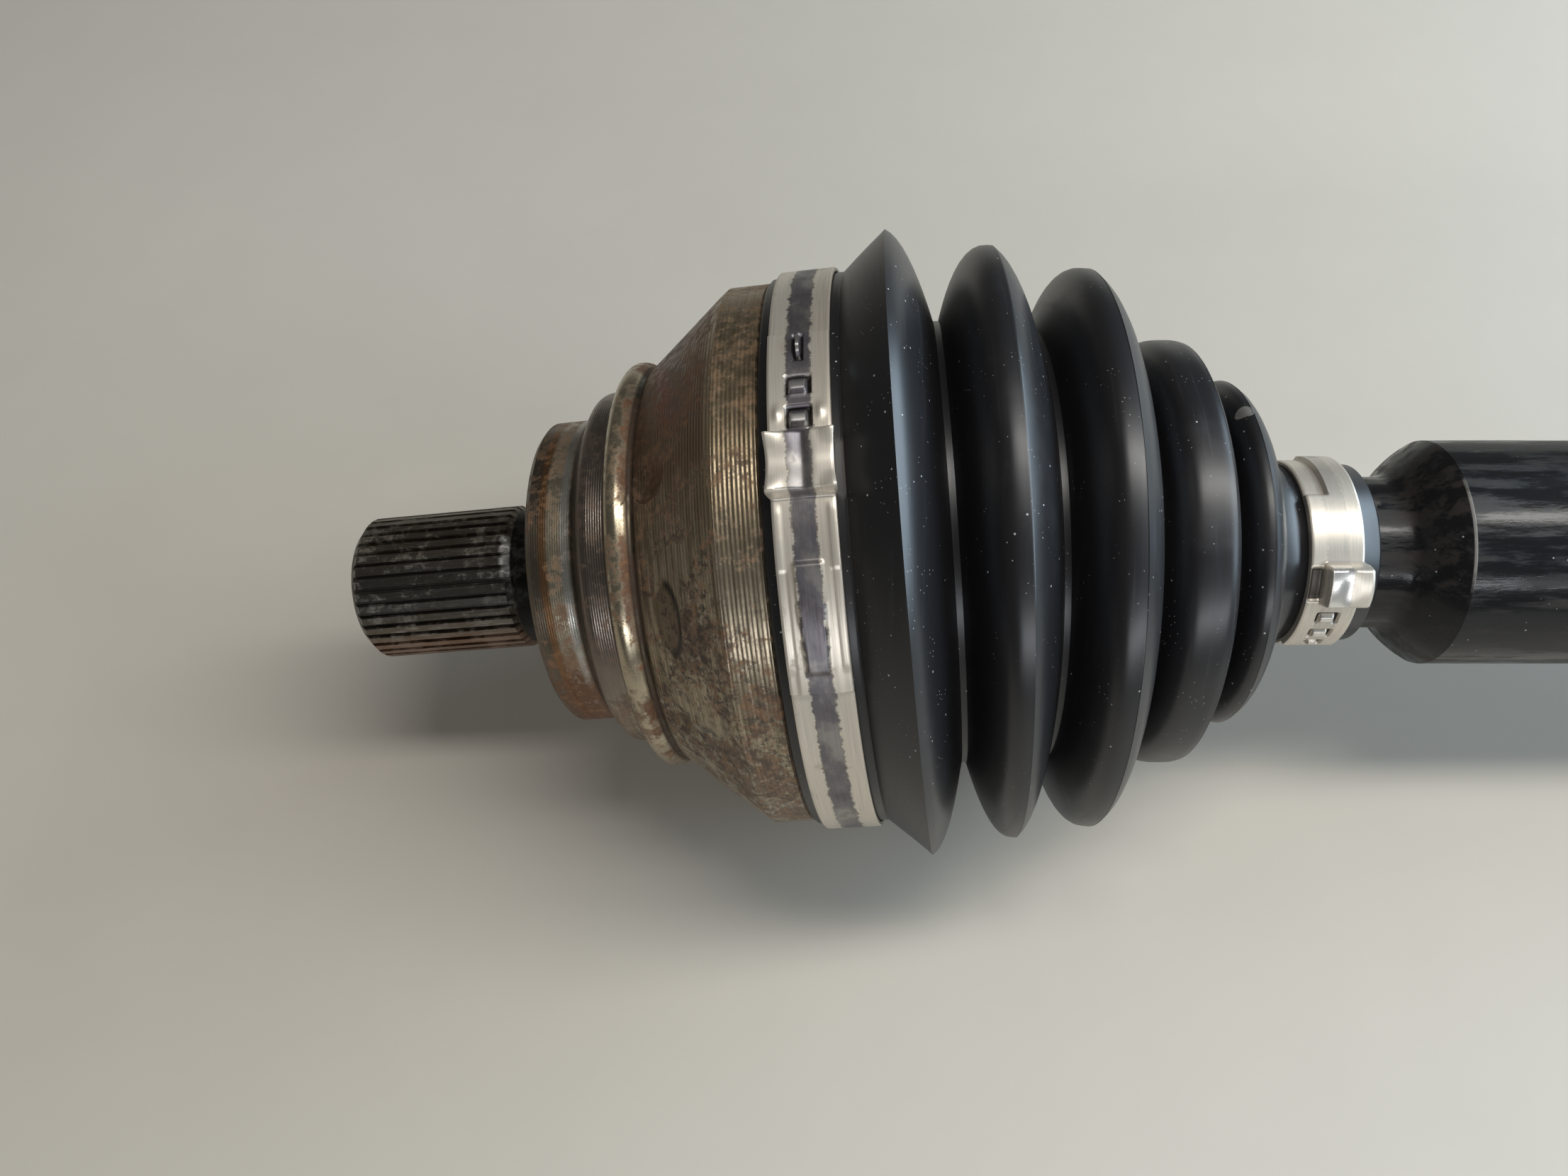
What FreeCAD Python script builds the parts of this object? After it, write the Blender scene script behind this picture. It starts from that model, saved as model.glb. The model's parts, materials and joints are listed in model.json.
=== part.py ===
import FreeCAD, Part
import math
import os
from FreeCAD import Vector

# Front-wheel-drive half shaft, wheel end on the left.
# +X runs along the bar from the wheel joint to the gearbox flange, +Z is up.
# The origin is the centre of the gearbox flange's mating face. Lengths are in millimetres.

# Overall layout
joint_spacing = 490.0
flange_to_joint = 35.0
rest_droop = 8.8
running_fit = 0.08
static_fit = 0.05
body_gap = 0.3
cutter_margin = 1.0

# Bar: hollow tube with solid necked ends
tube_radius = 22.75
tube_wall = 4.0
neck_radius = 15.4
bar_radius = 13.6
collar_width = 3.0
tube_start = 124.4
flare_length = 8.2
flare_fillet = 1.6
flare_bulge = 0.3
neck_step = 1.8
seat_length = 18.0
spigot_wall = 5.0
spigot_depth = 2.0
tube_spigot = 14.0
bar_spline_teeth = 30
bar_spline_tip = 14.4
bar_spline_root = 13.3
bar_end_chamfer = 1.2
circlip_wire = 1.75
circlip_depth = 1.6
circlip_edge = 2.4
circlip_height = 1.9
circlip_gap = 5.0

# Fixed ball joint at the wheel end
ball_radius = 9.525
ball_count = 6
track_offset = 3.0
track_play_radial = 1.85
track_play_side = 2.8
cage_outer_radius = 38.6
cage_wall = 6.02
cage_inner_radius = cage_outer_radius - cage_wall
ball_circle = (cage_outer_radius + cage_inner_radius) / 2
star_radius = cage_inner_radius - running_fit
star_half_width = 13.0
cage_half_width = 15.5
window_half_length = 12.4
window_corner = 4.0
bell_bore_radius = cage_outer_radius + running_fit
bell_floor = 31.0
bell_track_end = 42.5
bell_track_mouth = 42.0
star_track_turn = 40.0

# Outside of the bell, distances measured from the ball centres towards the wheel
bell_mouth = -13.0
mouth_chamfer = 2.6
seat_radius = 51.6
seat_end = 1.2
barrel_step = 2.3
barrel_radius = seat_radius + barrel_step
barrel_end = 10.0
cone_end = 26.0
cone_foot_radius = 40.4
groove_radius = 40.1
groove_end = 27.2
bead_radius = 41.3
bead_end = 31.6
bead_drop = 1.8
drum_radius = 36.0
drum_end = 38.6
drum_rounding = 2.6
register_radius = 31.0
register_end = 49.5
register_chamfer = 1.0
dimple_radius = 9.0
dimple_depth = 1.3
dimple_place = 22.6
dimple_turn = 13.0
stub_neck_radius = 13.9
stub_spline_start = 58.5
stub_end = 92.6
stub_spline_teeth = 36
stub_spline_tip = 14.8
stub_spline_root = 13.7
stub_chamfer = 1.9
spline_land_share = 0.56
bolt_thread_radius = 7.19
bolt_thread_depth = 36.0
bolt_mouth_chamfer = 1.2
drill_point_angle = 59.0

# Wheel-side boot: ridges counted from the bell, distances from the ball centres towards the tube
boot_wall = 1.7
boot_lip_thickness = 3.0
boot_lip_start = -1.1
boot_lip_end = 12.4
boot_lip_radius = seat_radius + boot_lip_thickness
ridge_place = [21.0, 37.5, 53.2, 70.4, 82.0]
ridge_height = [7.0, 3.8, 0.9, -12.0, -20.0]
valley_place = [28.6, 45.0, 61.5, 77.4]
valley_depth = [-10.6, -11.6, -18.6, -26.2]
ridge_radius = [boot_lip_radius + height for height in ridge_height]
valley_radius = [boot_lip_radius + depth for depth in valley_depth]
valley_half_width = 0.5
flank_steps = [-1.0, -0.86, -0.7, -0.5, -0.25, 0.0, 0.25, 0.5, 0.7, 0.86, 1.0]
near_power = [1.0, 2.2, 2.2, 2.6, 2.2]
far_power = [2.0, 2.2, 3.0, 3.2, 2.4]
seam_place = [0.0, 0.1, 0.14, 0.36, 0.05]
seam_drop = 0.12
inside_flank_share = 0.7
lip_overhang = 0.8
collar_lead = 1.5
boot_throat_radius = 22.0
boot_throat = 89.0
boot_collar_start = 93.6
boot_collar_end = 109.0
boot_collar_thickness = 2.5
boot_collar_radius = neck_radius + boot_collar_thickness
boot_bend_start = 14.0
boot_bend_end = 66.0

# Band clamps
clamp_strip = 0.8
ear_inset = 0.5
large_clamp_start = 0.8
large_clamp_width = 10.5
small_clamp_start = 95.0
small_clamp_width = 10.0
small_clamp_facing = 31.0
large_clamp_facing = 33.2
large_overlap_from = -25.0
large_overlap_to = 42.0
large_ear_from = 9.0
large_ear_to = 20.5
large_ear_height = 2.4
tongue_from = -20.0
tongue_to = -1.5
tongue_height = 0.7
tongue_width_share = 0.5
hook_window_places = [23.0, 29.5, 38.0]
hook_window_length = 4.2
hook_window_width = 5.0
small_overlap_from = -75.0
small_overlap_to = 8.0
small_ear_from = -33.0
small_ear_to = -8.0
small_ear_height = 3.6
small_window_places = [-42.0, -56.0, -68.0]
small_window_length = 2.2
small_window_width = 4.0

# Plunging ball joint at the gearbox end, distances measured from the ball centres towards the flange
inner_ball_radius = 8.73
inner_ball_circle = 30.0
inner_track_play = 1.0
inner_star_radius = 26.8
inner_star_half_width = 12.0
inner_cage_bore = inner_star_radius + running_fit
inner_cage_radius = 32.5
inner_cage_half_width = 12.0
inner_window_half_length = 10.4
sphere_offset = 2.0
housing_bore = inner_cage_radius + running_fit
housing_radius = 45.5
housing_open_end = -33.5
housing_mouth_chamfer = 1.6
flange_thickness = 12.0
flange_hole_circle = 47.0
flange_hole_radius = 5.05
flange_hole_count = 6
flange_lobe_radius = 8.5
cap_recess_radius = 40.2
cap_recess_depth = 3.6
cap_thickness = 1.2
cap_rim_height = 3.0
cap_crown = 0.6
stop_ring_wire = 1.0
stop_ring_place = -30.6
stop_ring_depth = 0.9

# Gearbox-side boot, distances from the ball centres towards the tube
inner_lip_start = 22.0
inner_lip_end = 34.5
inner_lip_radius = housing_radius + 2.2
inner_ridge_place = [43.0, 56.0, 68.0, 79.5]
inner_ridge_height = [1.6, -4.2, -9.2, -14.2]
inner_valley_place = [49.6, 62.2, 74.0]
inner_valley_depth = [-11.7, -15.7, -19.7]
inner_ridge_radius = [inner_lip_radius + height for height in inner_ridge_height]
inner_valley_radius = [inner_lip_radius + depth for depth in inner_valley_depth]
inner_boot_throat = 86.0
inner_boot_throat_radius = 21.0
inner_collar_start = 90.0
inner_collar_end = 104.0
inner_large_clamp_start = 23.4
inner_small_clamp_start = 91.4
inner_tube_start = 119.0

wheel_joint_x = -(flange_to_joint + joint_spacing)
gear_joint_x = -flange_to_joint
centre = Vector(0, 0, 0)
along_x = Vector(1, 0, 0)
along_y = Vector(0, 1, 0)
along_z = Vector(0, 0, 1)


def turned(outline, way=1):
    """Revolves an outline of (distance, radius) points about X; a third value pair makes an arc."""
    edges = []
    last = None
    first = None
    for item in outline:
        via = None
        if len(item) == 4:
            via = Vector(way * item[0], 0, item[1])
            item = item[2:]
        point = Vector(way * item[0], 0, item[1])
        if last is None:
            first = point
        elif via is not None:
            edges.append(Part.Arc(last, via, point).toShape())
        else:
            edges.append(Part.LineSegment(last, point).toShape())
        last = point
    if last.sub(first).Length > 1e-6:
        edges.append(Part.LineSegment(last, first).toShape())
    solid = Part.Face(Part.Wire(edges)).revolve(centre, along_x, 360)
    if solid.Volume < 0:
        solid.reverse()
    return solid


def ring(start, end, inner, outer, way=1):
    """A plain turned ring."""
    return turned([(start, inner), (end, inner), (end, outer), (start, outer)], way)


def rolled(shape, angle):
    """Turns a shape about the bar's own axis."""
    copy = shape.copy()
    copy.rotate(centre, along_x, angle)
    return copy


def around(shape, count, first=0.0):
    """Copies of a shape, evenly spaced about the bar's axis."""
    return [rolled(shape, first + 360.0 * k / count) for k in range(count)]


def drooped(shape, share):
    """Tips a shape about the wheel joint's ball centres, as the stub hangs at rest."""
    copy = shape.copy()
    copy.rotate(centre, along_y, -rest_droop * share)
    return copy


def placed(shape, x):
    """Moves a shape from a joint's own frame to its place along the bar."""
    copy = shape.copy()
    copy.translate(Vector(x, 0, 0))
    return copy


def tooth_outline(teeth, tip, root, land_share, x):
    """The closed outline of a spline, with flat-sided teeth."""
    pitch = 2 * math.pi / teeth
    half_tip = pitch * land_share / 2
    half_root = pitch * (1 - land_share) * 0.36
    edges = []

    def at(radius, angle):
        return Vector(x, radius * math.cos(angle), radius * math.sin(angle))

    for k in range(teeth):
        mid = k * pitch
        gap = mid + pitch / 2
        following = mid + pitch
        edges.append(Part.Arc(at(tip, mid - half_tip), at(tip, mid), at(tip, mid + half_tip)).toShape())
        edges.append(Part.LineSegment(at(tip, mid + half_tip), at(root, gap - half_root)).toShape())
        edges.append(Part.LineSegment(at(root, gap - half_root), at(root, gap + half_root)).toShape())
        edges.append(Part.LineSegment(at(root, gap + half_root), at(tip, following - half_tip)).toShape())
    return Part.Wire(edges)


def splined_bar(teeth, tip, root, land_share, start, end):
    """A bar with straight spline teeth from start to end along X."""
    face = Part.Face(tooth_outline(teeth, tip, root, land_share, start))
    return face.extrude(Vector(end - start, 0, 0))


def curved_track(offset, from_angle, to_angle):
    """An elliptical groove swept about a centre that is offset along the axis, above +Z."""
    sweep_radius = math.hypot(ball_circle, offset)
    start = math.radians(from_angle)
    middle = Vector(offset + sweep_radius * math.sin(start), 0, sweep_radius * math.cos(start))
    side = ball_radius + track_play_side
    depth = ball_radius + track_play_radial
    outward = Vector(math.sin(start), 0, math.cos(start))
    across = Part.Ellipse(middle + along_y * side, middle + outward * depth, middle)
    face = Part.Face(Part.Wire([across.toShape()]))
    return face.revolve(Vector(offset, 0, 0), along_y, to_angle - from_angle)


def straight_track(radius, circle, start, end):
    """A round groove along the axis, above +Z."""
    return Part.makeCylinder(radius, end - start, Vector(start, 0, circle), along_x)


def star_bore(half_width):
    """The splined hole of an inner race, with clearance on the bar's teeth."""
    wide = spline_land_share + 2 * static_fit / (2 * math.pi * bar_spline_tip / bar_spline_teeth)
    reach = half_width + cutter_margin
    return splined_bar(bar_spline_teeth, bar_spline_tip + static_fit, bar_spline_root + static_fit,
                       wide, -reach, reach)


def wheel_star():
    """Inner race of the fixed joint: a sphere's belt with six curved tracks and a splined bore."""
    edge = math.sqrt(star_radius ** 2 - star_half_width ** 2)
    belt = turned([(-star_half_width, 0), (-star_half_width, edge), (0, star_radius, star_half_width, edge),
                   (star_half_width, 0)])
    for groove in around(curved_track(-track_offset, -star_track_turn, star_track_turn), ball_count):
        belt = belt.cut(groove)
    return belt.cut(star_bore(star_half_width))


def gear_star():
    """Inner race of the plunging joint, its outer sphere offset and its tracks straight."""
    low = sphere_offset - inner_star_half_width
    high = sphere_offset + inner_star_half_width
    middle = inner_star_half_width
    edge = math.sqrt(inner_star_radius ** 2 - middle ** 2)
    belt = turned([(low, 0), (low, edge), (sphere_offset, inner_star_radius, high, edge), (high, 0)])
    groove = straight_track(inner_ball_radius + inner_track_play, inner_ball_circle, low - 5, high + 5)
    for cutter in around(groove, ball_count):
        belt = belt.cut(cutter)
    bore = star_bore(inner_star_half_width)
    bore.translate(Vector(sphere_offset, 0, 0))
    return belt.cut(bore)


def ball_cage(inner, outer, half_width, window_half, ball, inner_centre, outer_centre):
    """A spherical cage with a window for every ball."""
    inner_low = math.sqrt(inner ** 2 - (half_width + inner_centre) ** 2)
    inner_high = math.sqrt(inner ** 2 - (half_width - inner_centre) ** 2)
    outer_low = math.sqrt(outer ** 2 - (half_width + outer_centre) ** 2)
    outer_high = math.sqrt(outer ** 2 - (half_width - outer_centre) ** 2)
    shell = turned([(-half_width, inner_low), (-half_width, outer_low), (outer_centre, outer, half_width, outer_high),
                    (half_width, inner_high), (inner_centre, inner, -half_width, inner_low)])
    opening = Part.makeBox(2 * (ball + static_fit), 2 * window_half, outer,
                           Vector(-ball - static_fit, -window_half, inner / 2))
    upright = [edge for edge in opening.Edges if abs(edge.tangentAt(edge.FirstParameter).z) > 0.9]
    opening = opening.makeFillet(window_corner, upright)
    for cutter in around(opening, ball_count):
        shell = shell.cut(cutter)
    return shell


def ball(radius, circle, angle):
    """One ball on its circle, at an angle from +Z."""
    middle = Vector(0, -circle * math.sin(math.radians(angle)), circle * math.cos(math.radians(angle)))
    sphere = Part.makeSphere(radius)
    sphere.rotate(centre, along_x, angle)
    sphere.translate(middle)
    return sphere


def outer_race():
    """Bell, bearing register and splined stub of the wheel joint, turned from one forging."""
    mouth_inner = math.sqrt(bell_bore_radius ** 2 - bell_mouth ** 2)
    floor_edge = math.sqrt(bell_bore_radius ** 2 - bell_floor ** 2)
    arc_place = (bell_mouth + bell_floor) / 2
    arc_radius = math.sqrt(bell_bore_radius ** 2 - arc_place ** 2)
    chamfer_end = bell_mouth + mouth_chamfer
    chamfer_radius = math.sqrt(bell_bore_radius ** 2 - chamfer_end ** 2)
    groove_middle = (cone_end + groove_end) / 2
    bead_middle = (groove_end + bead_end) / 2
    bead_foot = bead_radius - bead_drop
    rounding = drum_rounding * math.sqrt(0.5)
    outline = [
        (chamfer_end, chamfer_radius),
        (bell_mouth, mouth_inner + mouth_chamfer),
        (bell_mouth, seat_radius - 1),
        (bell_mouth + 1, seat_radius),
        (seat_end, seat_radius),
        (seat_end, barrel_radius - 0.4),
        (seat_end + 0.4, barrel_radius),
        (barrel_end - 0.8, barrel_radius),
        (barrel_end + 0.8, barrel_radius - 1.2),
        (cone_end, cone_foot_radius),
        (groove_middle, groove_radius, groove_end, cone_foot_radius),
        (bead_middle, bead_radius, bead_end, bead_foot),
        (bead_end, drum_radius),
        (drum_end - drum_rounding, drum_radius),
        (drum_end - drum_rounding + rounding, drum_radius - drum_rounding + rounding,
         drum_end, drum_radius - drum_rounding),
        (drum_end + 2.0, register_radius),
        (register_end - register_chamfer, register_radius),
        (register_end, register_radius - register_chamfer),
        (register_end, stub_neck_radius + 1.2),
        (register_end + 0.4, stub_neck_radius + 0.4, register_end + 1.4, stub_neck_radius),
        (stub_spline_start, stub_neck_radius),
        (stub_spline_start, 0),
        (bell_floor, 0),
        (bell_floor, floor_edge),
        (arc_place, arc_radius, chamfer_end, chamfer_radius),
    ]
    body = turned(outline, -1)
    for cutter in around(curved_track(track_offset, -bell_track_end, bell_track_mouth), ball_count):
        body = body.cut(cutter)
    scoop = Part.makeSphere(dimple_radius)
    slope = math.atan2(barrel_radius - cone_foot_radius, cone_end - barrel_end)
    surface = barrel_radius - (dimple_place - barrel_end) * math.tan(slope)
    reach = dimple_radius - dimple_depth
    scoop.translate(Vector(-dimple_place - reach * math.sin(slope), 0, surface + reach * math.cos(slope)))
    for cutter in around(scoop, ball_count, dimple_turn):
        body = body.cut(cutter)
    return body.fuse(stub_spline()).cut(bolt_hole()).removeSplitter()


def stub_spline():
    """The hub spline, its teeth chamfered at both ends by a turned envelope."""
    teeth = splined_bar(stub_spline_teeth, stub_spline_tip, stub_spline_root, spline_land_share,
                        -stub_end, -stub_spline_start)
    low = stub_spline_tip - stub_chamfer
    envelope = turned([(stub_spline_start, 0), (stub_spline_start, stub_neck_radius),
                       (stub_spline_start + 1.2, stub_spline_tip + 0.1),
                       (stub_end - stub_chamfer, stub_spline_tip + 0.1), (stub_end, low), (stub_end, 0)], -1)
    return teeth.common(envelope)


def bolt_hole():
    """Blind threaded hole for the hub bolt, with a drill point and a chamfered mouth."""
    bottom = stub_end - bolt_thread_depth
    point = bottom - bolt_thread_radius / math.tan(math.radians(drill_point_angle))
    return turned([(point, 0), (bottom, bolt_thread_radius), (stub_end - bolt_mouth_chamfer, bolt_thread_radius),
                   (stub_end + 0.5, bolt_thread_radius + bolt_mouth_chamfer + 0.5), (stub_end + 0.5, 0)], -1)


def bar_end(way, star_centre, star_half, seat_end_place, tube_place):
    """Solid end of the bar: spline, collar, slim neck, boot seat, flare and spigot into the tube."""
    star_face = star_half + star_centre
    far_face = star_half - star_centre
    tip = -(far_face + circlip_wire + circlip_edge)
    groove_from = -(far_face + circlip_wire)
    collar_end = star_face + collar_width
    seat_start = seat_end_place - seat_length
    flare_start = tube_place - flare_length
    flare_middle = (flare_start + flare_fillet + tube_place) / 2
    flare_radius = (neck_radius + flare_fillet + tube_radius) / 2
    inner = tube_radius - tube_wall
    body = turned([
        (star_face, 0), (star_face, neck_radius), (collar_end, neck_radius), (collar_end + neck_step, bar_radius),
        (seat_start - neck_step, bar_radius), (seat_start, neck_radius), (flare_start - flare_fillet, neck_radius),
        (flare_start, neck_radius + 0.3, flare_start + flare_fillet, neck_radius + flare_fillet),
        (flare_middle - flare_bulge, flare_radius + flare_bulge, tube_place, tube_radius),
        (tube_place, inner - static_fit),
        (tube_place + tube_spigot, inner - static_fit), (tube_place + tube_spigot, inner - spigot_wall),
        (tube_place + spigot_depth, inner - 1.6 * spigot_wall), (tube_place + spigot_depth, 0)], way)
    teeth = splined_bar(bar_spline_teeth, bar_spline_tip, bar_spline_root, spline_land_share, tip, star_face)
    envelope = turned([(tip, 0), (tip, bar_spline_tip - bar_end_chamfer), (tip + bar_end_chamfer, bar_spline_tip + 0.1),
                       (star_face, bar_spline_tip + 0.1), (star_face, 0)])
    clip_groove = ring(groove_from - static_fit, groove_from + circlip_wire - static_fit,
                       bar_spline_tip - circlip_depth, bar_spline_tip + cutter_margin)
    spline = teeth.common(envelope).cut(clip_groove)
    if way < 0:
        spline.rotate(centre, along_z, 180)
    return body.fuse(spline).removeSplitter()


def circlip(star_centre, star_half, way):
    """Open retaining ring that holds an inner race on the bar."""
    far_face = star_half - star_centre
    outer = bar_spline_tip + circlip_height
    inner = bar_spline_tip - circlip_depth + static_fit
    clip = ring(-(far_face + circlip_wire - static_fit), -(far_face + 2 * static_fit), inner, outer, way)
    gap = Part.makeBox(2 * bar_spline_tip, circlip_gap, bar_spline_tip,
                       Vector(-bar_spline_tip - way * far_face, -circlip_gap / 2, bar_spline_tip / 2))
    return clip.cut(gap)


def tube():
    """The hollow middle of the bar, between its two solid ends."""
    start = wheel_joint_x + tube_start
    end = gear_joint_x - inner_tube_start
    return ring(start, end, tube_radius - tube_wall, tube_radius)


def boot_ridges(places, radii, valleys, lip, throat, thinner):
    """Ring places and radii along a boot's ridges; thinner is the wall that the inside leaves out.

    A flank falls from its crest by a power of the way out; past the mould seam it falls a little faster.
    """
    feet = [lip] + valleys + [throat]
    narrower = valley_half_width + inside_flank_share * thinner
    rings = []
    for k, (place, radius) in enumerate(zip(places, radii)):
        for step in flank_steps:
            foot = feet[k] if step < 0 else feet[k + 1]
            reach = abs(foot[0] - place) - narrower
            curve = (-step) ** near_power[k] if step < 0 else step ** far_power[k]
            if step > 0:
                past_seam = max(0.0, step - seam_place[k]) / (1 - seam_place[k])
                curve = (1 - seam_drop) * curve + seam_drop * past_seam
            drop = (radius - foot[1]) * curve
            rings.append((place + step * reach, radius - drop - thinner))
    return rings


def bend_share(place):
    """How much of the joint's angle a boot ring takes: all of it at the bell, none at the bar."""
    run = (place - boot_bend_start) / (boot_bend_end - boot_bend_start)
    run = min(1.0, max(0.0, run))
    return 1 - run * run * (3 - 2 * run)


def skinned(rings, droop, way):
    """A solid through rings of the given places and radii, tipped as the joint bends."""
    wires = []
    for place, radius in rings:
        circle = Part.makeCircle(radius, Vector(way * place, 0, 0), along_x)
        circle.rotate(centre, along_y, -droop * bend_share(place))
        wires.append(Part.Wire([circle]))
    return Part.makeLoft(wires, True, True)


def boot(skin, hollow, lip, collar, droop, way):
    """Boot with thick bands under its clamps; lip and collar are (start, end, bore, outer radius)."""
    outside = [(lip[0], lip[3]), (lip[1], lip[3])] + skin + [(collar[0], collar[3]), (collar[1], collar[3])]
    inside = [(lip[0] - cutter_margin, lip[2]), (lip[1] + lip_overhang, lip[2])] + hollow
    inside += [(collar[0] - valley_half_width, collar[3] - boot_wall), (collar[0] + collar_lead, collar[2]),
               (collar[1] + cutter_margin, collar[2])]
    return skinned(outside, droop, way).cut(skinned(inside, droop, way))


def wheel_boot():
    """Five-ridge boot of the wheel joint, bent as the stub hangs."""
    lip = (boot_lip_start, boot_lip_end, seat_radius + body_gap, boot_lip_radius)
    collar = (boot_collar_start, boot_collar_end, neck_radius + static_fit, boot_collar_radius)
    valleys = list(zip(valley_place, valley_radius))
    skin, hollow = (boot_ridges(ridge_place, ridge_radius, valleys, (boot_lip_end, boot_lip_radius),
                                (boot_throat, boot_throat_radius), thinner) for thinner in (0, boot_wall))
    return boot(skin, hollow, lip, collar, rest_droop, 1)


def gear_boot():
    """Four-ridge boot of the plunging joint."""
    lip = (inner_lip_start, inner_lip_end, housing_radius + body_gap, inner_lip_radius)
    collar = (inner_collar_start, inner_collar_end, neck_radius + static_fit, boot_collar_radius)
    valleys = list(zip(inner_valley_place, inner_valley_radius))
    skin, hollow = (boot_ridges(inner_ridge_place, inner_ridge_radius, valleys, (inner_lip_end, inner_lip_radius),
                                (inner_boot_throat, inner_boot_throat_radius), thinner)
                    for thinner in (0, boot_wall))
    return boot(skin, hollow, lip, collar, 0, -1)


def arc_band(start, width, inner, outer, from_angle, to_angle, facing):
    """A strip bent round the axis between two angles, measured back from its facing side."""
    section = Part.makePolygon([Vector(start, 0, inner), Vector(start + width, 0, inner),
                                Vector(start + width, 0, outer), Vector(start, 0, outer), Vector(start, 0, inner)])
    strip = Part.Face(section).revolve(centre, along_x, to_angle - from_angle)
    strip.rotate(centre, along_x, facing - to_angle)
    return strip


def band_clamp(start, width, radius, overlap, ear, ear_height, windows, window_length, window_width, facing):
    """Strip clamp: full ring, overlapped outer layer, pressed ear and hook windows."""
    outer = radius + clamp_strip
    clamp = ring(start, start + width, radius, outer)
    layer = arc_band(start, width, outer - clamp_strip / 8, outer + clamp_strip, overlap[0], overlap[1], facing)
    for place in windows:
        cutter = Part.makeBox(window_width, window_length, 4 * clamp_strip,
                              Vector(start + (width - window_width) / 2, -window_length / 2, outer))
        layer = layer.cut(rolled(cutter, facing - place))
    bump = arc_band(start + ear_inset, width - 2 * ear_inset, outer, outer + ear_height, ear[0], ear[1], facing)
    corners = [edge for edge in bump.Edges
               if edge.Length < ear_height + 1 and abs(edge.CenterOfMass.sub(bump.CenterOfMass).Length) > 1]
    bump = bump.makeFillet(0.45 * ear_height, corners) if corners else bump
    return clamp.fuse(layer).fuse(bump).removeSplitter()


def large_clamp():
    """Wide clamp on the bell, with its raised tongue."""
    radius = boot_lip_radius + body_gap
    clamp = band_clamp(large_clamp_start, large_clamp_width, radius, (large_overlap_from, large_overlap_to),
                       (large_ear_from, large_ear_to), large_ear_height, hook_window_places,
                       hook_window_length, hook_window_width, large_clamp_facing)
    top = radius + 2 * clamp_strip
    narrow = large_clamp_width * tongue_width_share
    tongue = arc_band(large_clamp_start + (large_clamp_width - narrow) / 2, narrow, top - clamp_strip / 8,
                      top + tongue_height, tongue_from, tongue_to, large_clamp_facing)
    return clamp.fuse(tongue).removeSplitter()


def small_clamp(start, way):
    """Narrow clamp on the bar."""
    clamp = band_clamp(start, small_clamp_width, boot_collar_radius + static_fit,
                       (small_overlap_from, small_overlap_to), (small_ear_from, small_ear_to), small_ear_height,
                       small_window_places, small_window_length, small_window_width, small_clamp_facing)
    if way < 0:
        clamp.rotate(centre, along_z, 180)
    return clamp


def gear_large_clamp():
    """Clamp that holds the plunging joint's boot on its housing."""
    clamp = band_clamp(inner_large_clamp_start, small_clamp_width, inner_lip_radius + body_gap,
                       (small_overlap_from / 2, small_overlap_to), (small_ear_from / 2, small_ear_to / 2), 0.9,
                       [], small_window_length, small_window_width, small_clamp_facing)
    clamp.rotate(centre, along_z, 180)
    return clamp


def housing():
    """Outer race of the plunging joint, with a lobed bolting flange and straight tracks."""
    face = flange_to_joint
    body = ring(housing_open_end, face, housing_bore, housing_radius)
    lobed = ring(face - flange_thickness, face, housing_bore, housing_radius)
    lobe = Part.makeCylinder(flange_lobe_radius, flange_thickness,
                             Vector(face - flange_thickness, 0, flange_hole_circle), along_x)
    tapered = lobe_web(face)
    for k in range(flange_hole_count):
        turn = 360.0 * (k + 0.5) / flange_hole_count
        lobed = lobed.fuse(rolled(lobe, turn)).fuse(rolled(tapered, turn))
    body = body.fuse(lobed)
    bore = Part.makeCylinder(housing_bore, face - housing_open_end + 2, Vector(housing_open_end - 1, 0, 0), along_x)
    body = body.cut(bore)
    groove = straight_track(inner_ball_radius + inner_track_play, inner_ball_circle,
                            housing_open_end - 1, face + 1)
    for cutter in around(groove, ball_count):
        body = body.cut(cutter)
    hole = Part.makeCylinder(flange_hole_radius, flange_thickness + 2,
                             Vector(face - flange_thickness - 1, 0, flange_hole_circle), along_x)
    for cutter in around(hole, flange_hole_count, 180.0 / flange_hole_count):
        body = body.cut(cutter)
    recess = ring(face - cap_recess_depth, face + 1, 0, cap_recess_radius)
    mouth = turned([(housing_open_end - 1, 0), (housing_open_end - 1, housing_bore + housing_mouth_chamfer + 1),
                    (housing_open_end + housing_mouth_chamfer, housing_bore), (housing_open_end + 5, 0)])
    ring_groove = ring(stop_ring_place - stop_ring_wire - static_fit, stop_ring_place + stop_ring_wire + static_fit,
                       housing_bore - 2, housing_bore + stop_ring_depth)
    return body.cut(recess).cut(mouth).cut(ring_groove).removeSplitter()


def lobe_web(face):
    """Tangent sides that run a bolt lobe into the round housing."""
    spread = flange_lobe_radius * 2.1
    low = math.sqrt(housing_radius ** 2 - spread ** 2)
    tip = flange_lobe_radius * 0.86
    reach = flange_hole_circle + flange_lobe_radius * 0.5
    start = face - flange_thickness
    outline = Part.makePolygon([Vector(start, -spread, low), Vector(start, spread, low), Vector(start, tip, reach),
                                Vector(start, -tip, reach), Vector(start, -spread, low)])
    return Part.Face(outline).extrude(Vector(flange_thickness, 0, 0))


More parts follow.
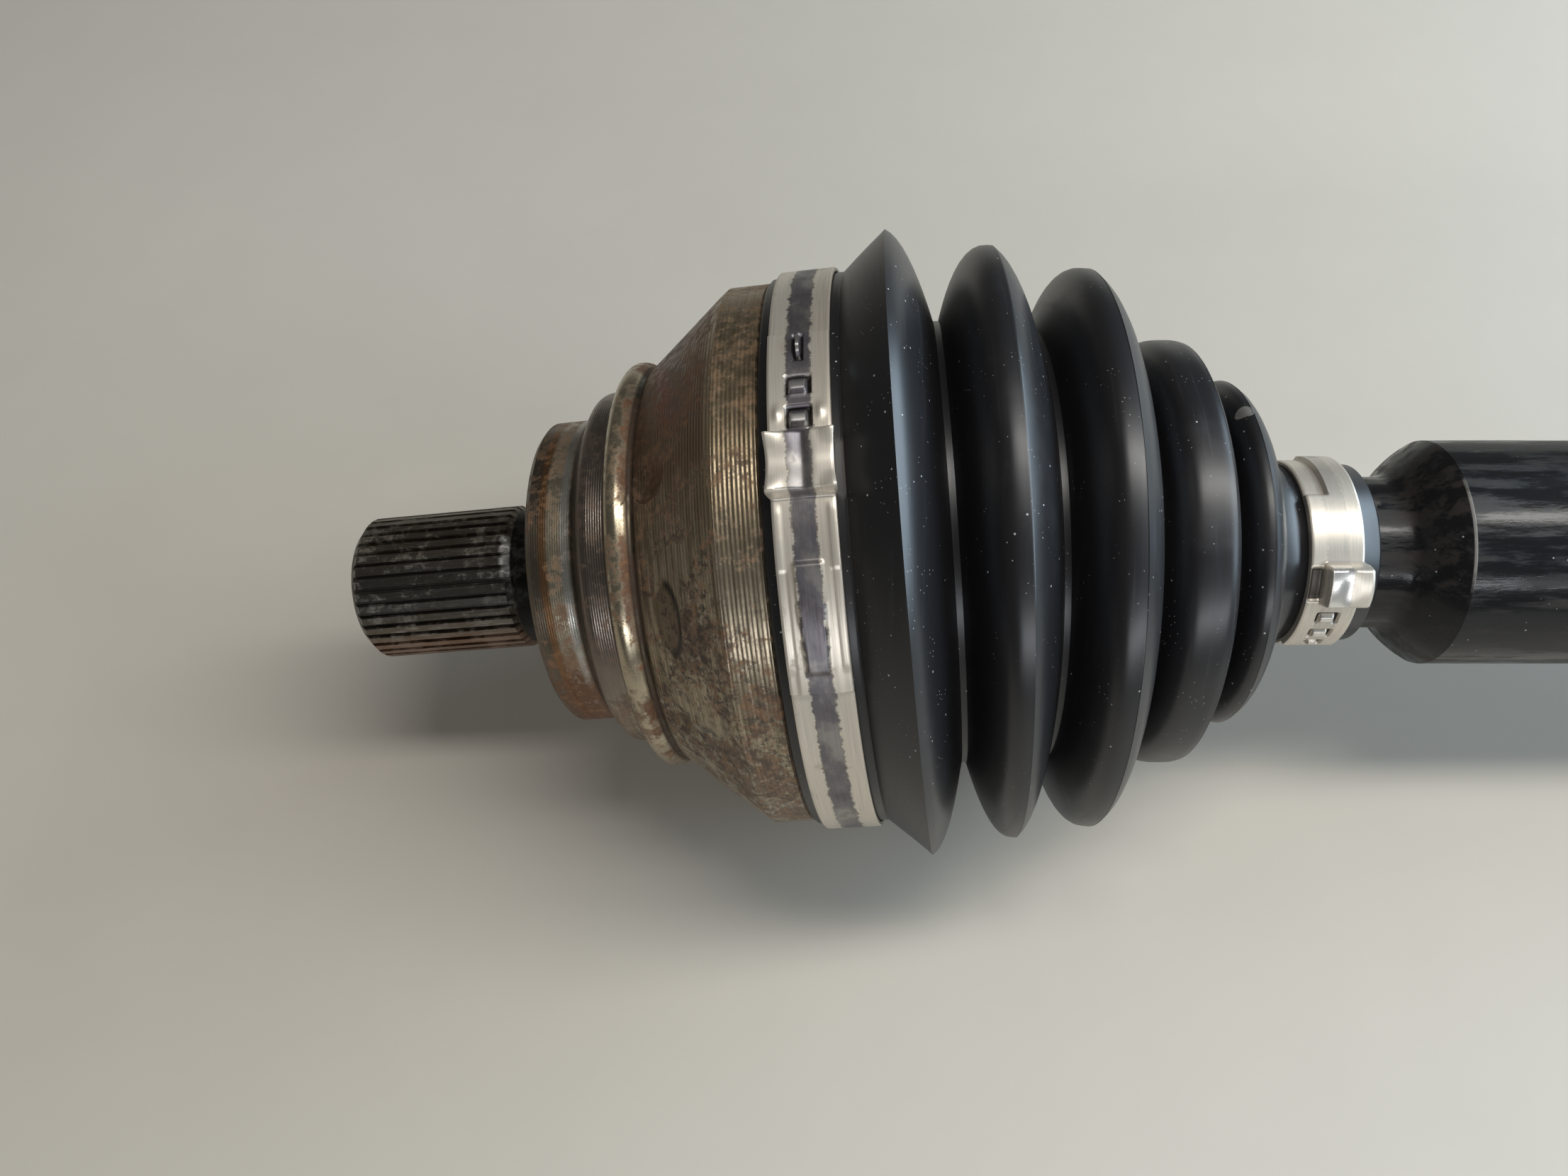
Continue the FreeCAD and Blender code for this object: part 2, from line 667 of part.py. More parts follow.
def end_cap():
    """Pressed steel cover that seals the grease in at the flange face."""
    face = flange_to_joint
    outer = cap_recess_radius - static_fit
    seat = face - cap_recess_depth + static_fit
    return turned([(seat, outer - 2.2), (seat, outer), (seat + cap_rim_height, outer),
                   (seat + cap_rim_height, outer - cap_thickness - 1.5),
                   (seat + cap_rim_height - cap_crown - 0.6, outer - cap_thickness - 3),
                   (seat + cap_rim_height - 0.2, outer - 12), (seat + cap_rim_height, 0),
                   (seat + cap_rim_height - cap_thickness, 0), (seat + cap_rim_height - cap_thickness - 0.2, outer - 12),
                   (seat + cap_rim_height - cap_thickness - cap_crown - 0.7, outer - cap_thickness - 1.2)])


def stop_ring():
    """Wire ring that keeps the cage inside the housing."""
    outer = housing_bore + stop_ring_depth - static_fit
    clip = ring(stop_ring_place - stop_ring_wire, stop_ring_place + stop_ring_wire, outer - 2 * stop_ring_wire, outer)
    gap = Part.makeBox(6, 6, 12, Vector(stop_ring_place - 3, -3, housing_bore - 6))
    return clip.cut(rolled(gap, 30))


parts = {}
wheel_cage = ball_cage(cage_inner_radius, cage_outer_radius, cage_half_width, window_half_length, ball_radius, 0, 0)
gear_cage = ball_cage(inner_cage_bore, inner_cage_radius, inner_cage_half_width, inner_window_half_length,
                      inner_ball_radius, sphere_offset, -sphere_offset)
ball_turns = [360.0 * k / ball_count for k in range(ball_count)]
side_balls = [ball(ball_radius, ball_circle, turn) for turn in ball_turns if turn not in (0.0, 180.0)]
carried_balls = [ball(inner_ball_radius, inner_ball_circle, turn) for turn in ball_turns if turn != 180.0]

parts["bar_tube"] = tube()
parts["bar_end_wheel_side"] = placed(bar_end(1, 0, star_half_width, boot_collar_end, tube_start), wheel_joint_x)
parts["wheel_joint_inner_race"] = placed(wheel_star(), wheel_joint_x)
parts["wheel_joint_circlip"] = placed(circlip(0, star_half_width, 1), wheel_joint_x)
parts["wheel_joint_cage"] = placed(drooped(wheel_cage, 0.5), wheel_joint_x)
parts["wheel_joint_side_balls"] = placed(drooped(Part.makeCompound(side_balls), 0.5), wheel_joint_x)
parts["wheel_joint_top_ball"] = placed(drooped(ball(ball_radius, ball_circle, 0), 0.5), wheel_joint_x)
parts["wheel_joint_bottom_ball"] = placed(drooped(ball(ball_radius, ball_circle, 180), 0.5), wheel_joint_x)
parts["wheel_joint_outer_race"] = placed(drooped(outer_race(), 1), wheel_joint_x)
parts["wheel_boot"] = placed(wheel_boot(), wheel_joint_x)
parts["wheel_boot_large_clamp"] = placed(drooped(large_clamp(), 1), wheel_joint_x)
parts["wheel_boot_small_clamp"] = placed(small_clamp(small_clamp_start, 1), wheel_joint_x)
parts["bar_end_gearbox_side"] = placed(
    bar_end(-1, -sphere_offset, inner_star_half_width, inner_collar_end, inner_tube_start), gear_joint_x)
parts["gearbox_joint_inner_race"] = placed(gear_star(), gear_joint_x)
parts["gearbox_joint_circlip"] = placed(circlip(-sphere_offset, inner_star_half_width, -1), gear_joint_x)
parts["gearbox_joint_cage"] = placed(gear_cage, gear_joint_x)
parts["gearbox_joint_balls"] = placed(Part.makeCompound(carried_balls), gear_joint_x)
parts["gearbox_joint_bottom_ball"] = placed(ball(inner_ball_radius, inner_ball_circle, 180), gear_joint_x)
parts["gearbox_joint_housing"] = placed(housing(), gear_joint_x)
parts["gearbox_joint_end_cap"] = placed(end_cap(), gear_joint_x)
parts["gearbox_joint_stop_ring"] = placed(stop_ring(), gear_joint_x)
parts["gearbox_boot"] = placed(gear_boot(), gear_joint_x)
parts["gearbox_boot_large_clamp"] = placed(gear_large_clamp(), gear_joint_x)
parts["gearbox_boot_small_clamp"] = placed(small_clamp(inner_small_clamp_start, -1), gear_joint_x)

os.makedirs("parts", exist_ok=True)
for name, shape in parts.items():
    shape.exportStep("parts/" + name + ".step")
    print(name, "solids", len(shape.Solids), "faces", len(shape.Faces), "valid", shape.isValid(),
          "volume", round(shape.Volume, 1))
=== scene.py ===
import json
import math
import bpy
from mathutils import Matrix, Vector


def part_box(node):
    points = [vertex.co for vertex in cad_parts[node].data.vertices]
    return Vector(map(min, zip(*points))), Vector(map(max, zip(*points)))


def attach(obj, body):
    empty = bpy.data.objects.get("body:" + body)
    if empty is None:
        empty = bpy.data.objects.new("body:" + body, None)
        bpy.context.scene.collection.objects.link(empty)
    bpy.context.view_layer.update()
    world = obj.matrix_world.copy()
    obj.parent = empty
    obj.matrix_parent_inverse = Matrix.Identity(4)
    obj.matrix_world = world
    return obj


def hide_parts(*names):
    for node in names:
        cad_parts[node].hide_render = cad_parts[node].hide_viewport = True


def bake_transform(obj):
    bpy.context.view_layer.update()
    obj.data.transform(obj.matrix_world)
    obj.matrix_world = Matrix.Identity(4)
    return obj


bl_info = {
    "name": "Half shaft dressing",
    "version": (1, 0, 0),
    "blender": (4, 5, 0),
    "location": "3D View > Sidebar > Half shaft",
    "description": "Dresses the packed half shaft with boots, strip clamps, finishes and a stage",
    "category": "Object",
}

import bmesh
import bpy
from bpy.props import FloatProperty, FloatVectorProperty, IntProperty, PointerProperty
from mathutils import Matrix, Vector

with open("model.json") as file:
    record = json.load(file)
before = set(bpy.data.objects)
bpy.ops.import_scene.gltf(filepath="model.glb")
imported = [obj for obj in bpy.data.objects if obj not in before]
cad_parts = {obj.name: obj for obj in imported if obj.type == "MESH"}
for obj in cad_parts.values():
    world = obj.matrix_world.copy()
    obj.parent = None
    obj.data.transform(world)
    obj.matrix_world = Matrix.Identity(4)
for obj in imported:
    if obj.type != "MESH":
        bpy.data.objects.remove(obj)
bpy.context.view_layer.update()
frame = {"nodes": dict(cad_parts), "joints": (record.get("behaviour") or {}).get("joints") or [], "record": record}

# The frame gives where the joints are and how the stub hangs.
MM = 0.001
joints = {joint["name"]: joint for joint in frame["joints"]}
mounts = {mount["name"]: mount for mount in frame["record"]["mounts"]}
WHEEL_CENTRE = Vector(joints["wheel_joint_bump"]["pos_m"])
GEAR_CENTRE = (Vector(joints["gearbox_joint_swing"]["pos_m"])
               + Vector(joints["gearbox_joint_swing_outer"]["pos_m"])) / 2
STUB = Vector(mounts["hub_spline"]["axis"])
DROOP = math.atan2(-STUB.z, -STUB.x)


# -------- sizes and colours

def numbers(name, description, *values, **kind):
    """A setting of one or more numbers; kind is its unit or subtype."""
    if len(values) == 1:
        return FloatProperty(name=name, description=description, default=values[0], **kind)
    return FloatVectorProperty(name=name, description=description, size=len(values), default=values, **kind)


def lengths(name, description, *values):
    """A setting of one or more lengths."""
    return numbers(name, description, *values, unit="LENGTH")


def tinted(name, description, *channels):
    """A setting that holds a colour."""
    return numbers(name, description, *channels, 1.0, subtype="COLOR")


class BootSizes(bpy.types.PropertyGroup):
    """Sizes of the wheel joint's boot, from the ball centres towards the tube."""
    places: lengths("Ridge places", "Where each ridge stands", 0.0210, 0.0375, 0.0532, 0.0704, 0.0820)
    radii: lengths("Ridge radii", "Radius over each ridge", 0.0616, 0.0584, 0.0555, 0.0426, 0.0346)
    valley_places: lengths("Valley places", "Where each valley lies", 0.0286, 0.0450, 0.0615, 0.0774)
    valley_radii: lengths("Valley radii", "Radius in each valley", 0.0440, 0.0430, 0.0360, 0.0284)
    lip: lengths("Lip", "Start, end, bore and outer radius of the wide end", -0.0011, 0.0124, 0.0519, 0.0546)
    throat: lengths("Throat", "Place and radius behind the last ridge", 0.0890, 0.0220)
    collar: lengths("Collar", "Start, end, bore and outer radius of the narrow end",
                    0.0936, 0.1090, 0.01545, 0.0179)
    bend: lengths("Bend run", "Where the boot starts and stops bending", 0.0140, 0.0660)
    pip: numbers("Mould pip", "Millimetres along, turn and radius of the pip's mark", 81.0, -0.84, 1.6)


class GearBootSizes(bpy.types.PropertyGroup):
    """Sizes of the gearbox joint's boot, from the ball centres towards the tube."""
    places: lengths("Ridge places", "Where each ridge stands", 0.0430, 0.0560, 0.0680, 0.0795)
    radii: lengths("Ridge radii", "Radius over each ridge", 0.0493, 0.0435, 0.0385, 0.0335)
    valley_places: lengths("Valley places", "Where each valley lies", 0.0496, 0.0622, 0.0740)
    valley_radii: lengths("Valley radii", "Radius in each valley", 0.0360, 0.0320, 0.0280)
    lip: lengths("Lip", "Start, end, bore and outer radius of the wide end", 0.0220, 0.0345, 0.0458, 0.0477)
    throat: lengths("Throat", "Place and radius behind the last ridge", 0.0860, 0.0210)
    collar: lengths("Collar", "Start, end, bore and outer radius of the narrow end",
                    0.0900, 0.1040, 0.01545, 0.0179)


class ShellSizes(bpy.types.PropertyGroup):
    """How finely both boots are made."""
    wall: lengths("Wall", "Thickness of a boot", 0.0017)
    around: IntProperty(name="Steps around", description="Faces round a boot", default=144)
    flank_steps: IntProperty(name="Flank steps", description="Faces from a ridge's crest to its foot",
                             default=12)
    near_power: numbers("Near power", "How full each ridge is towards the joint", 1.0, 2.2, 2.2, 4.0, 2.4)
    far_power: numbers("Far power", "How full each ridge is towards the bar", 2.0, 2.2, 3.0, 3.2, 2.4)
    seams: numbers("Seams", "Where each mould seam lies on the far flank, as a share",
                   0.0, 0.10, 0.14, 0.36, 0.05)
    seam_drop: numbers("Seam drop", "Share of a flank's drop that starts at the seam", 0.20)
    valley_half: lengths("Valley half width", "Half of a valley's flat bottom", 0.0005)
    seam_height: lengths("Seam height", "How far the mould seam stands up", 0.00008)


class ClampSizes(bpy.types.PropertyGroup):
    """Sizes of the strip clamps; angles are measured from their facing side."""
    strip: lengths("Strip", "Thickness of the strip", 0.0008)
    large_facing: numbers("Large clamp facing", "Its facing side from straight up",
                          math.radians(33.2), subtype="ANGLE")
    small_facing: numbers("Small clamp facing", "Its facing side from straight up",
                          math.radians(31.0), subtype="ANGLE")
    large: lengths("Large clamp", "Start, width and inner radius", 0.0008, 0.0105, 0.0549)
    small: lengths("Small clamp", "Start, width and inner radius", 0.0950, 0.0100, 0.01795)
    gear_large: lengths("Gearbox large clamp", "Start, width and inner radius", 0.0234, 0.0100, 0.0480)
    gear_small: lengths("Gearbox small clamp", "Start, width and inner radius", 0.0914, 0.0100, 0.01795)
    grid: lengths("Grid", "Size of a face on the pressed strip", 0.00026)


class BeadSizes(bpy.types.PropertyGroup):
    """Sizes of the polished bead round the bell, from the ball centres towards the stub."""
    middle: lengths("Middle", "Where the bead's crest lies", 0.0294)
    half: lengths("Half width", "From the crest to the bead's side", 0.0023)
    crest: lengths("Crest", "Radius over the bead", 0.04142)
    foot: lengths("Foot", "Radius at the bead's sides", 0.0398)
    bore: lengths("Bore", "Radius inside the bead's ring", 0.0378)
    power: numbers("Power", "How full the bead's back is", 2.4)
    across: IntProperty(name="Steps across", description="Faces over the bead", default=16)
    around: IntProperty(name="Steps around", description="Faces round the bead", default=240)


class Colours(bpy.types.PropertyGroup):
    """Colours of the finishes."""
    rubber: tinted("Boot", "Boot elastomer", 0.010, 0.010, 0.0115)
    dust: tinted("Dust", "Dust and lint on the boot", 0.42, 0.42, 0.42)
    paint: tinted("Bar paint", "Gloss black bar", 0.009, 0.009, 0.010)
    strip: tinted("Strip", "Stainless strip", 0.71, 0.64, 0.545)
    stripe: tinted("Stripe", "Tinted stripe along the strip", 0.115, 0.108, 0.130)
    steel: tinted("Forging", "Turned forging", 0.42, 0.350, 0.255)
    rust: tinted("Rust", "Dry rust", 0.115, 0.045, 0.018)
    oil: tinted("Oil", "Oily grime", 0.030, 0.021, 0.014)
    ground: tinted("Ground steel", "Bright ground steel", 0.60, 0.58, 0.53)
    floor: tinted("Floor", "Pale floor", 0.540, 0.495, 0.425)


class StageSizes(bpy.types.PropertyGroup):
    """Camera, lamps and floor."""
    photo: numbers("Photo size", "Width and height of the photograph in pixels", 2212.0, 1659.0)
    focal: numbers("Focal length", "Focal length in pixels of the photograph", 1750.0)
    look_down: numbers("Look down", "How far the camera looks down", math.radians(58.7), subtype="ANGLE")
    distance: lengths("Distance", "From the camera to the bar's axis", 0.254)
    aside: lengths("Aside", "From the wheel joint's centre to the camera, along the bar", -0.0049)
    axis_row: numbers("Axis row", "Row of the photograph that the bar's axis runs along", 779.0)


# -------- shader maths

class Wired:
    """A node's output that can be used in expressions; each operator adds its node."""

    def __init__(self, finish, socket):
        self.finish = finish
        self.socket = socket

    def __add__(self, other):
        return self.finish.math("ADD", self, other)

    __radd__ = __add__

    def __sub__(self, other):
        return self.finish.math("SUBTRACT", self, other)

    def __rsub__(self, other):
        return self.finish.math("SUBTRACT", other, self)

    def __mul__(self, other):
        return self.finish.math("MULTIPLY", self, other)

    __rmul__ = __mul__

    def __truediv__(self, other):
        return self.finish.math("DIVIDE", self, other)


class Finish:
    """A material under construction, with its shader and object coordinates."""

    def __init__(self, name):
        self.material = bpy.data.materials.new(name)
        self.material.use_nodes = True
        self.tree = self.material.node_tree
        self.tree.nodes.clear()
        self.shader = self.tree.nodes.new("ShaderNodeBsdfPrincipled")
        output = self.tree.nodes.new("ShaderNodeOutputMaterial")
        self.tree.links.new(self.shader.outputs["BSDF"], output.inputs["Surface"])
        self.place = self.add("ShaderNodeTexCoord", "Object")
        self.heights = []

    def add(self, kind, output=0, settings=None, inputs=None):
        """Adds a node, sets it up and returns one of its outputs."""
        node = self.tree.nodes.new(kind)
        for key, value in (settings or {}).items():
            setattr(node, key, value)
        for key, value in (inputs or {}).items():
            self.plug(node.inputs[key], value)
        return Wired(self, node.outputs[output])

    def plug(self, socket, value):
        """Links a wired value or sets a constant."""
        if isinstance(value, Wired):
            self.tree.links.new(value.socket, socket)
        else:
            socket.default_value = value

    def math(self, operation, *values):
        """A Math node on numbers."""
        return self.add("ShaderNodeMath", 0, {"operation": operation}, dict(enumerate(values)))

    def step(self, value, low, high):
        """0 below low, 1 above high, smooth between; high below low turns it round."""
        if high < low:
            return 1 - self.step(value, high, low)
        return self.add("ShaderNodeMapRange", "Result", {"interpolation_type": "SMOOTHSTEP"},
                        {"Value": value, "From Min": low, "From Max": high})

    def band(self, value, low, high, soft):
        """1 between low and high, with soft edges."""
        return self.step(value, low - soft, low + soft) * self.step(value, high + soft, high - soft)

    def noise(self, scale, detail=4.0, rough=0.55, at=None):
        """Fractal noise."""
        return self.add("ShaderNodeTexNoise", "Fac", None,
                        {"Vector": at or self.place, "Scale": scale, "Detail": detail, "Roughness": rough})

    def cells(self, scale):
        """Distance to the nearest of many scattered points."""
        return self.add("ShaderNodeTexVoronoi", "Distance", None, {"Vector": self.place, "Scale": scale})

    def rings(self, place, pitch):
        """Fine lines, 0 to 1, that repeat along a place at a pitch."""
        return self.math("SINE", place * (2 * math.pi / pitch)) * 0.5 + 0.5

    def mix(self, first, second, share):
        """Blends two colours."""
        return self.add("ShaderNodeMix", 2, {"data_type": "RGBA"}, {0: share, 6: first, 7: second})

    def coats(self, base, *layers):
        """Lays colours over a base; each layer is a colour and its share."""
        for colour, share in layers:
            base = self.mix(base, colour, share)
        return base

    def local(self, centre, droop):
        """Coordinates in millimetres about a joint: along the bar from centre, radius and roll."""
        turn = Matrix.Rotation(droop, 3, "Y")
        offset = -(turn @ centre) / MM
        local = self.add("ShaderNodeMapping", "Vector", None,
                         {"Vector": self.place, "Scale": (1 / MM, 1 / MM, 1 / MM), "Rotation": (0, droop, 0),
                          "Location": offset})
        x, y, z = (self.add("ShaderNodeSeparateXYZ", axis, None, {0: local}) for axis in "XYZ")
        radius = self.math("SQRT", y * y + z * z)
        roll = self.math("ARCTAN2", 0 - y, z)
        return x, radius, roll

    def vector(self, x, y, z):
        """Three numbers as one vector."""
        return self.add("ShaderNodeCombineXYZ", 0, None, {0: x, 1: y, 2: z})

    def raise_by(self, height, millimetres, strength=1.0):
        """Adds a relief to the surface; height is 0 to 1."""
        inputs = {"Height": height, "Distance": millimetres * MM, "Strength": strength}
        if self.heights:
            inputs["Normal"] = self.heights[-1]
        self.heights.append(self.add("ShaderNodeBump", "Normal", None, inputs))

    def done(self, colour, roughness, metallic=0.0, **constants):
        """Connects the shader and returns the material."""
        self.plug(self.shader.inputs["Base Color"], colour)
        self.plug(self.shader.inputs["Roughness"], roughness)
        self.plug(self.shader.inputs["Metallic"], metallic)
        if self.heights:
            self.plug(self.shader.inputs["Normal"], self.heights[-1])
        for key, value in constants.items():
            self.shader.inputs[key.replace("_", " ")].default_value = value
        return self.material


def colours():
    """The colours a user may change."""
    return bpy.context.scene.shaft_colours


# -------- finishes

def facing_turn(roll):
    """How far a point is turned from the side that faces the camera; negative is above it."""
    return roll - (math.pi / 2 - bpy.context.scene.shaft_stage.look_down)


def boot_finish(name, centre, droop, pip=None):
    """Satin black elastomer with handling smears, dust and, where given, the mark of a mould pip."""
    f = Finish(name)
    along, radius, roll = f.local(centre, droop)
    smear = f.noise(38.0, 5.0, 0.6)
    fine = f.noise(1100.0, 3.0, 0.6)
    streak = f.noise(1.0, 4.0, 0.6, f.vector(along * 0.8, roll * 1.6, radius * 0.15))
    specks = f.step(f.cells(330.0), 0.070, 0.045) * f.step(f.noise(60.0, 2.0), 0.44, 0.54)
    lint = f.step(f.cells(1100.0), 0.13, 0.08) * f.step(f.noise(150.0, 2.0), 0.54, 0.60)
    dust = f.math("MAXIMUM", specks, lint * 0.7)
    scuff = f.step(smear, 0.54, 0.74) * 0.45 + f.step(streak, 0.56, 0.72) * 0.40
    grey = tuple(channel * 2.0 + 0.003 for channel in colours().rubber[:3]) + (1.0,)
    colour = f.mix(tuple(colours().rubber), grey, scuff)
    colour = f.mix(colour, tuple(colours().dust), dust)
    if pip:
        pip_place, pip_turn, pip_radius = pip
        across = along - pip_place
        sideways = (facing_turn(roll) - pip_turn) * radius
        away = f.math("SQRT", across * across + sideways * sideways)
        disc = f.step(away, pip_radius, pip_radius * 0.9) * (0.45 + smear)
        colour = f.mix(colour, (0.17, 0.165, 0.16, 1), disc)
        f.raise_by(f.band(away, pip_radius * 0.8, pip_radius, 0.1), 0.10)
    f.raise_by(fine, 0.015, 0.3)
    f.raise_by(streak, 0.06, 0.2)
    rough = 0.30 + smear * 0.10 + scuff * 0.12 + dust * 0.3
    return f.done(colour, rough, 0.0, Specular_IOR_Level=0.60)


def paint_finish():
    """Gloss black paint on the bar, with streaks along it, rubbed spots, dust and a painted highlight at the
    tube's rim.
    """
    f = Finish("bar_gloss_black")
    along, radius, roll = f.local(WHEEL_CENTRE, 0.0)
    turn = facing_turn(roll)
    lengthwise = f.add("ShaderNodeMapping", "Vector", None, {"Vector": f.place, "Scale": (0.16, 1.0, 1.0)})
    drips = f.noise(270.0, 5.0, 0.68, lengthwise)
    waves = f.noise(420.0, 4.0, 0.60, lengthwise)
    peel = f.noise(900.0, 4.0, 0.62)
    rubbed = f.step(f.noise(85.0, 6.0, 0.7), 0.64, 0.70)
    specks = f.step(f.cells(420.0), 0.085, 0.05) * f.step(f.noise(70.0), 0.48, 0.58)
    colour = f.mix(tuple(colours().paint), (0.030, 0.025, 0.022, 1), f.step(drips, 0.48, 0.62) * 0.7)
    colour = f.mix(colour, (0.13, 0.115, 0.10, 1), rubbed * 0.45)
    colour = f.mix(colour, tuple(colours().dust), specks * 0.8)
    # A thin lighter band round the tube's rim, on the side towards the camera and above it, is a painted
    # highlight.
    rim = (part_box("bar_tube")[0].x - WHEEL_CENTRE.x) / MM
    wear_and_highlight = f.band(along, rim - 0.35, rim + 0.10, 0.12) * f.step(radius, 21.5, 22.2)
    wear_and_highlight = wear_and_highlight * f.band(turn + (drips - 0.5) * 0.4, -0.55, 0.25, 0.15)
    colour = f.mix(colour, (0.34, 0.33, 0.31, 1), wear_and_highlight * 0.8)
    f.raise_by(waves, 0.10, 0.6)
    f.raise_by(peel, 0.045, 0.5)
    rough = 0.18 + f.step(drips, 0.42, 0.60) * 0.34 + rubbed * 0.3 + specks * 0.3
    return f.done(colour, rough, 0.0, Coat_Weight=0.05, Coat_Roughness=0.14, Specular_IOR_Level=0.24)


def bell_finish():
    """Turned forging: ground register, lined drum, polished bead, grooved cone and barrel, oily spline; painted
    shade and highlights.
    """
    f = Finish("bell_turned_steel")
    along, radius, roll = f.local(WHEEL_CENTRE, DROOP)
    place = 0 - along
    turn = facing_turn(roll)
    c = colours()
    patch = f.noise(26.0, 5.0, 0.6)
    cloud = f.noise(85.0, 6.0, 0.65)
    grain = f.noise(520.0, 6.0, 0.72)
    grit = f.noise(2000.0, 3.0, 0.6)
    streak = f.noise(1.0, 4.0, 0.65, f.vector(place * 1.1, roll * 2.4, 3.0))
    upper = f.step(turn + (cloud - 0.5) * 0.9, 0.15, -0.45)
    lower = f.step(turn + (cloud - 0.5) * 0.9, 0.45, 1.05)
    spline = f.step(place, 58.3, 58.7)
    stub = f.step(place, 49.7, 50.1)
    register = f.band(place, 39.6, 49.6, 0.2)
    ground = f.band(place + (cloud - 0.5) * 0.7, 40.9, 42.4, 0.5)
    cream = f.band(place + (cloud - 0.5) * 1.4, 42.4, 45.2, 0.6)
    rust_line = f.band(place + (cloud - 0.5) * 1.2, 45.2, 46.6, 0.4)
    drum = f.band(place, 31.8, 38.6, 0.3)
    bead = f.band(place, 27.3, 31.7, 0.2)
    barrel = f.band(place, 1.0, 10.6, 0.5)
    cone = f.band(place, 10.6, 25.8, 0.5)
    groove = f.band(place, 25.8, 28.6, 0.4)

    colour = f.coats(
        tuple(c.steel),
        ((0.22, 0.185, 0.130, 1), f.step(streak, 0.40, 0.62)),
        ((0.185, 0.112, 0.070, 1), cone * upper * 0.9),
        ((0.33, 0.245, 0.145, 1), barrel * upper * 0.6),
        ((0.34, 0.32, 0.245, 1), (cone + barrel) * lower * 0.55),
        ((0.205, 0.172, 0.145, 1), drum * (1 - lower * 0.6)),
        ((0.115, 0.095, 0.072, 1), register * 0.9),
        ((0.42, 0.365, 0.27, 1), cream * 0.8),
        ((0.24, 0.125, 0.055, 1), rust_line * 0.75),
        # The ground band is brighter across the side that faces the camera: a painted highlight over the ground
        # steel's colour.
        (tuple(c.ground), ground * (0.45 + 0.5 * f.band(turn, -0.7, 0.6, 0.3))),
        ((0.46, 0.40, 0.29, 1), bead * 0.85))

    mottled = cloud * 0.40 + grain * 0.48 + patch * 0.20
    rusty = f.step(mottled + lower * 0.03 + cream * 0.02, 0.530, 0.595)
    rust_share = rusty * (0.72 - ground * 0.45 - drum * 0.30 - upper * 0.2)
    rust_share = rust_share + groove * f.step(cloud, 0.40, 0.55) * 0.75
    low_rust = f.band(place, 40.5, 45.6, 0.4) * f.step(turn, 0.62, 0.95) * f.step(cloud, 0.44, 0.52)
    rust_share = f.math("MINIMUM", rust_share + low_rust * 0.8, 0.92)
    rust_tint = f.mix(tuple(c.rust), (0.215, 0.105, 0.045, 1), f.step(grain, 0.50, 0.62))
    red = f.band(place + turn * 9.0, 12.2, 15.2, 1.2) * f.band(turn, -1.05, -0.60, 0.16)
    red = red * f.step(cloud, 0.42, 0.54)
    # A dent that the mesh doesn't have is painted: a darker oval inside it and a dark crescent along one side,
    # both painted shade.
    dent_place, dent_turn, dent_half_width, dent_half_length, cone_radius = 20.4, 0.25, 2.7, 7.0, 46.0
    dent_along = (place - dent_place) / dent_half_width
    dent_around = (turn - dent_turn) * cone_radius / dent_half_length
    dent = f.math("SQRT", dent_along * dent_along + dent_around * dent_around)
    dent_shadow = f.band(dent, 0.80, 1.06, 0.12) * f.step(dent_along, 0.4, -0.2)
    zone = f.step(patch * 0.5 + cloud * 0.5, 0.44, 0.52) * (cone + barrel * 0.8 + drum * 0.35 + bead * 0.4)
    speckle = f.step(f.noise(560.0, 6.0, 0.80), 0.505, 0.545)
    flecks = speckle * zone * (1 - upper * 0.4)
    oily = f.step(patch * 0.75 + cloud * 0.25, 0.55, 0.64) * (cone + groove + register * 0.3)
    # Dark lines where the cone meets the bead's groove, the bead meets the drum and the drum meets the register
    # are painted shade in those creases.
    foot = f.band(place, 25.7, 27.3, 0.25) + f.band(place, 38.4, 40.2, 0.3) + f.band(place, 31.5, 32.0, 0.15)
    face = f.step(radius, 29.8, 29.2) * f.band(place, 49.2, 50.0, 0.1)
    colour = f.coats(
        colour,
        (rust_tint, rust_share),
        ((0.23, 0.060, 0.035, 1), red * 0.8),
        ((0.135, 0.095, 0.060, 1), f.step(dent, 1.0, 0.8) * 0.7),
        ((0.030, 0.024, 0.020, 1), dent_shadow * 0.95),
        ((0.030, 0.021, 0.015, 1), flecks * 0.85),
        (tuple(c.oil), oily * 0.45),
        ((0.020, 0.015, 0.011, 1), foot * 0.75),
        ((0.10, 0.08, 0.06, 1), face * 0.7))

    tooth = f.step(radius, 13.2, 14.2)
    # Lighter streaks along the teeth are partly wear and partly a painted highlight on the lands.
    wear_and_highlight = f.step(f.noise(60.0, 5.0, 0.6, f.vector(along * 0.004, radius * 0.02, roll * 0.9)), 0.42, 0.62)
    # Near-white tooth ends on the side towards the camera and above it are a painted highlight.
    tooth_end_highlight = f.band(place, 58.6, 60.4, 0.4) * f.band(turn, -0.55, 0.02, 0.08)
    tooth_colour = f.coats(
        (0.125, 0.102, 0.080, 1),
        ((0.235, 0.220, 0.190, 1), wear_and_highlight * f.step(cloud, 0.36, 0.60)),
        ((0.075, 0.080, 0.075, 1), f.band(turn, -0.35, 0.55, 0.25) * 0.55),
        ((0.27, 0.155, 0.10, 1), f.step(turn, 0.75, 1.0) * 0.6),
        ((0.75, 0.75, 0.72, 1), tooth_end_highlight * 0.9))
    # Between the teeth the colour is darkened as painted shade; on the neck it is oily black.
    oil_and_groove_shade = f.mix((0.010, 0.009, 0.008, 1), (0.040, 0.034, 0.028, 1), spline)
    colour = f.mix(colour, f.mix(oil_and_groove_shade, tooth_colour, tooth * spline), stub)

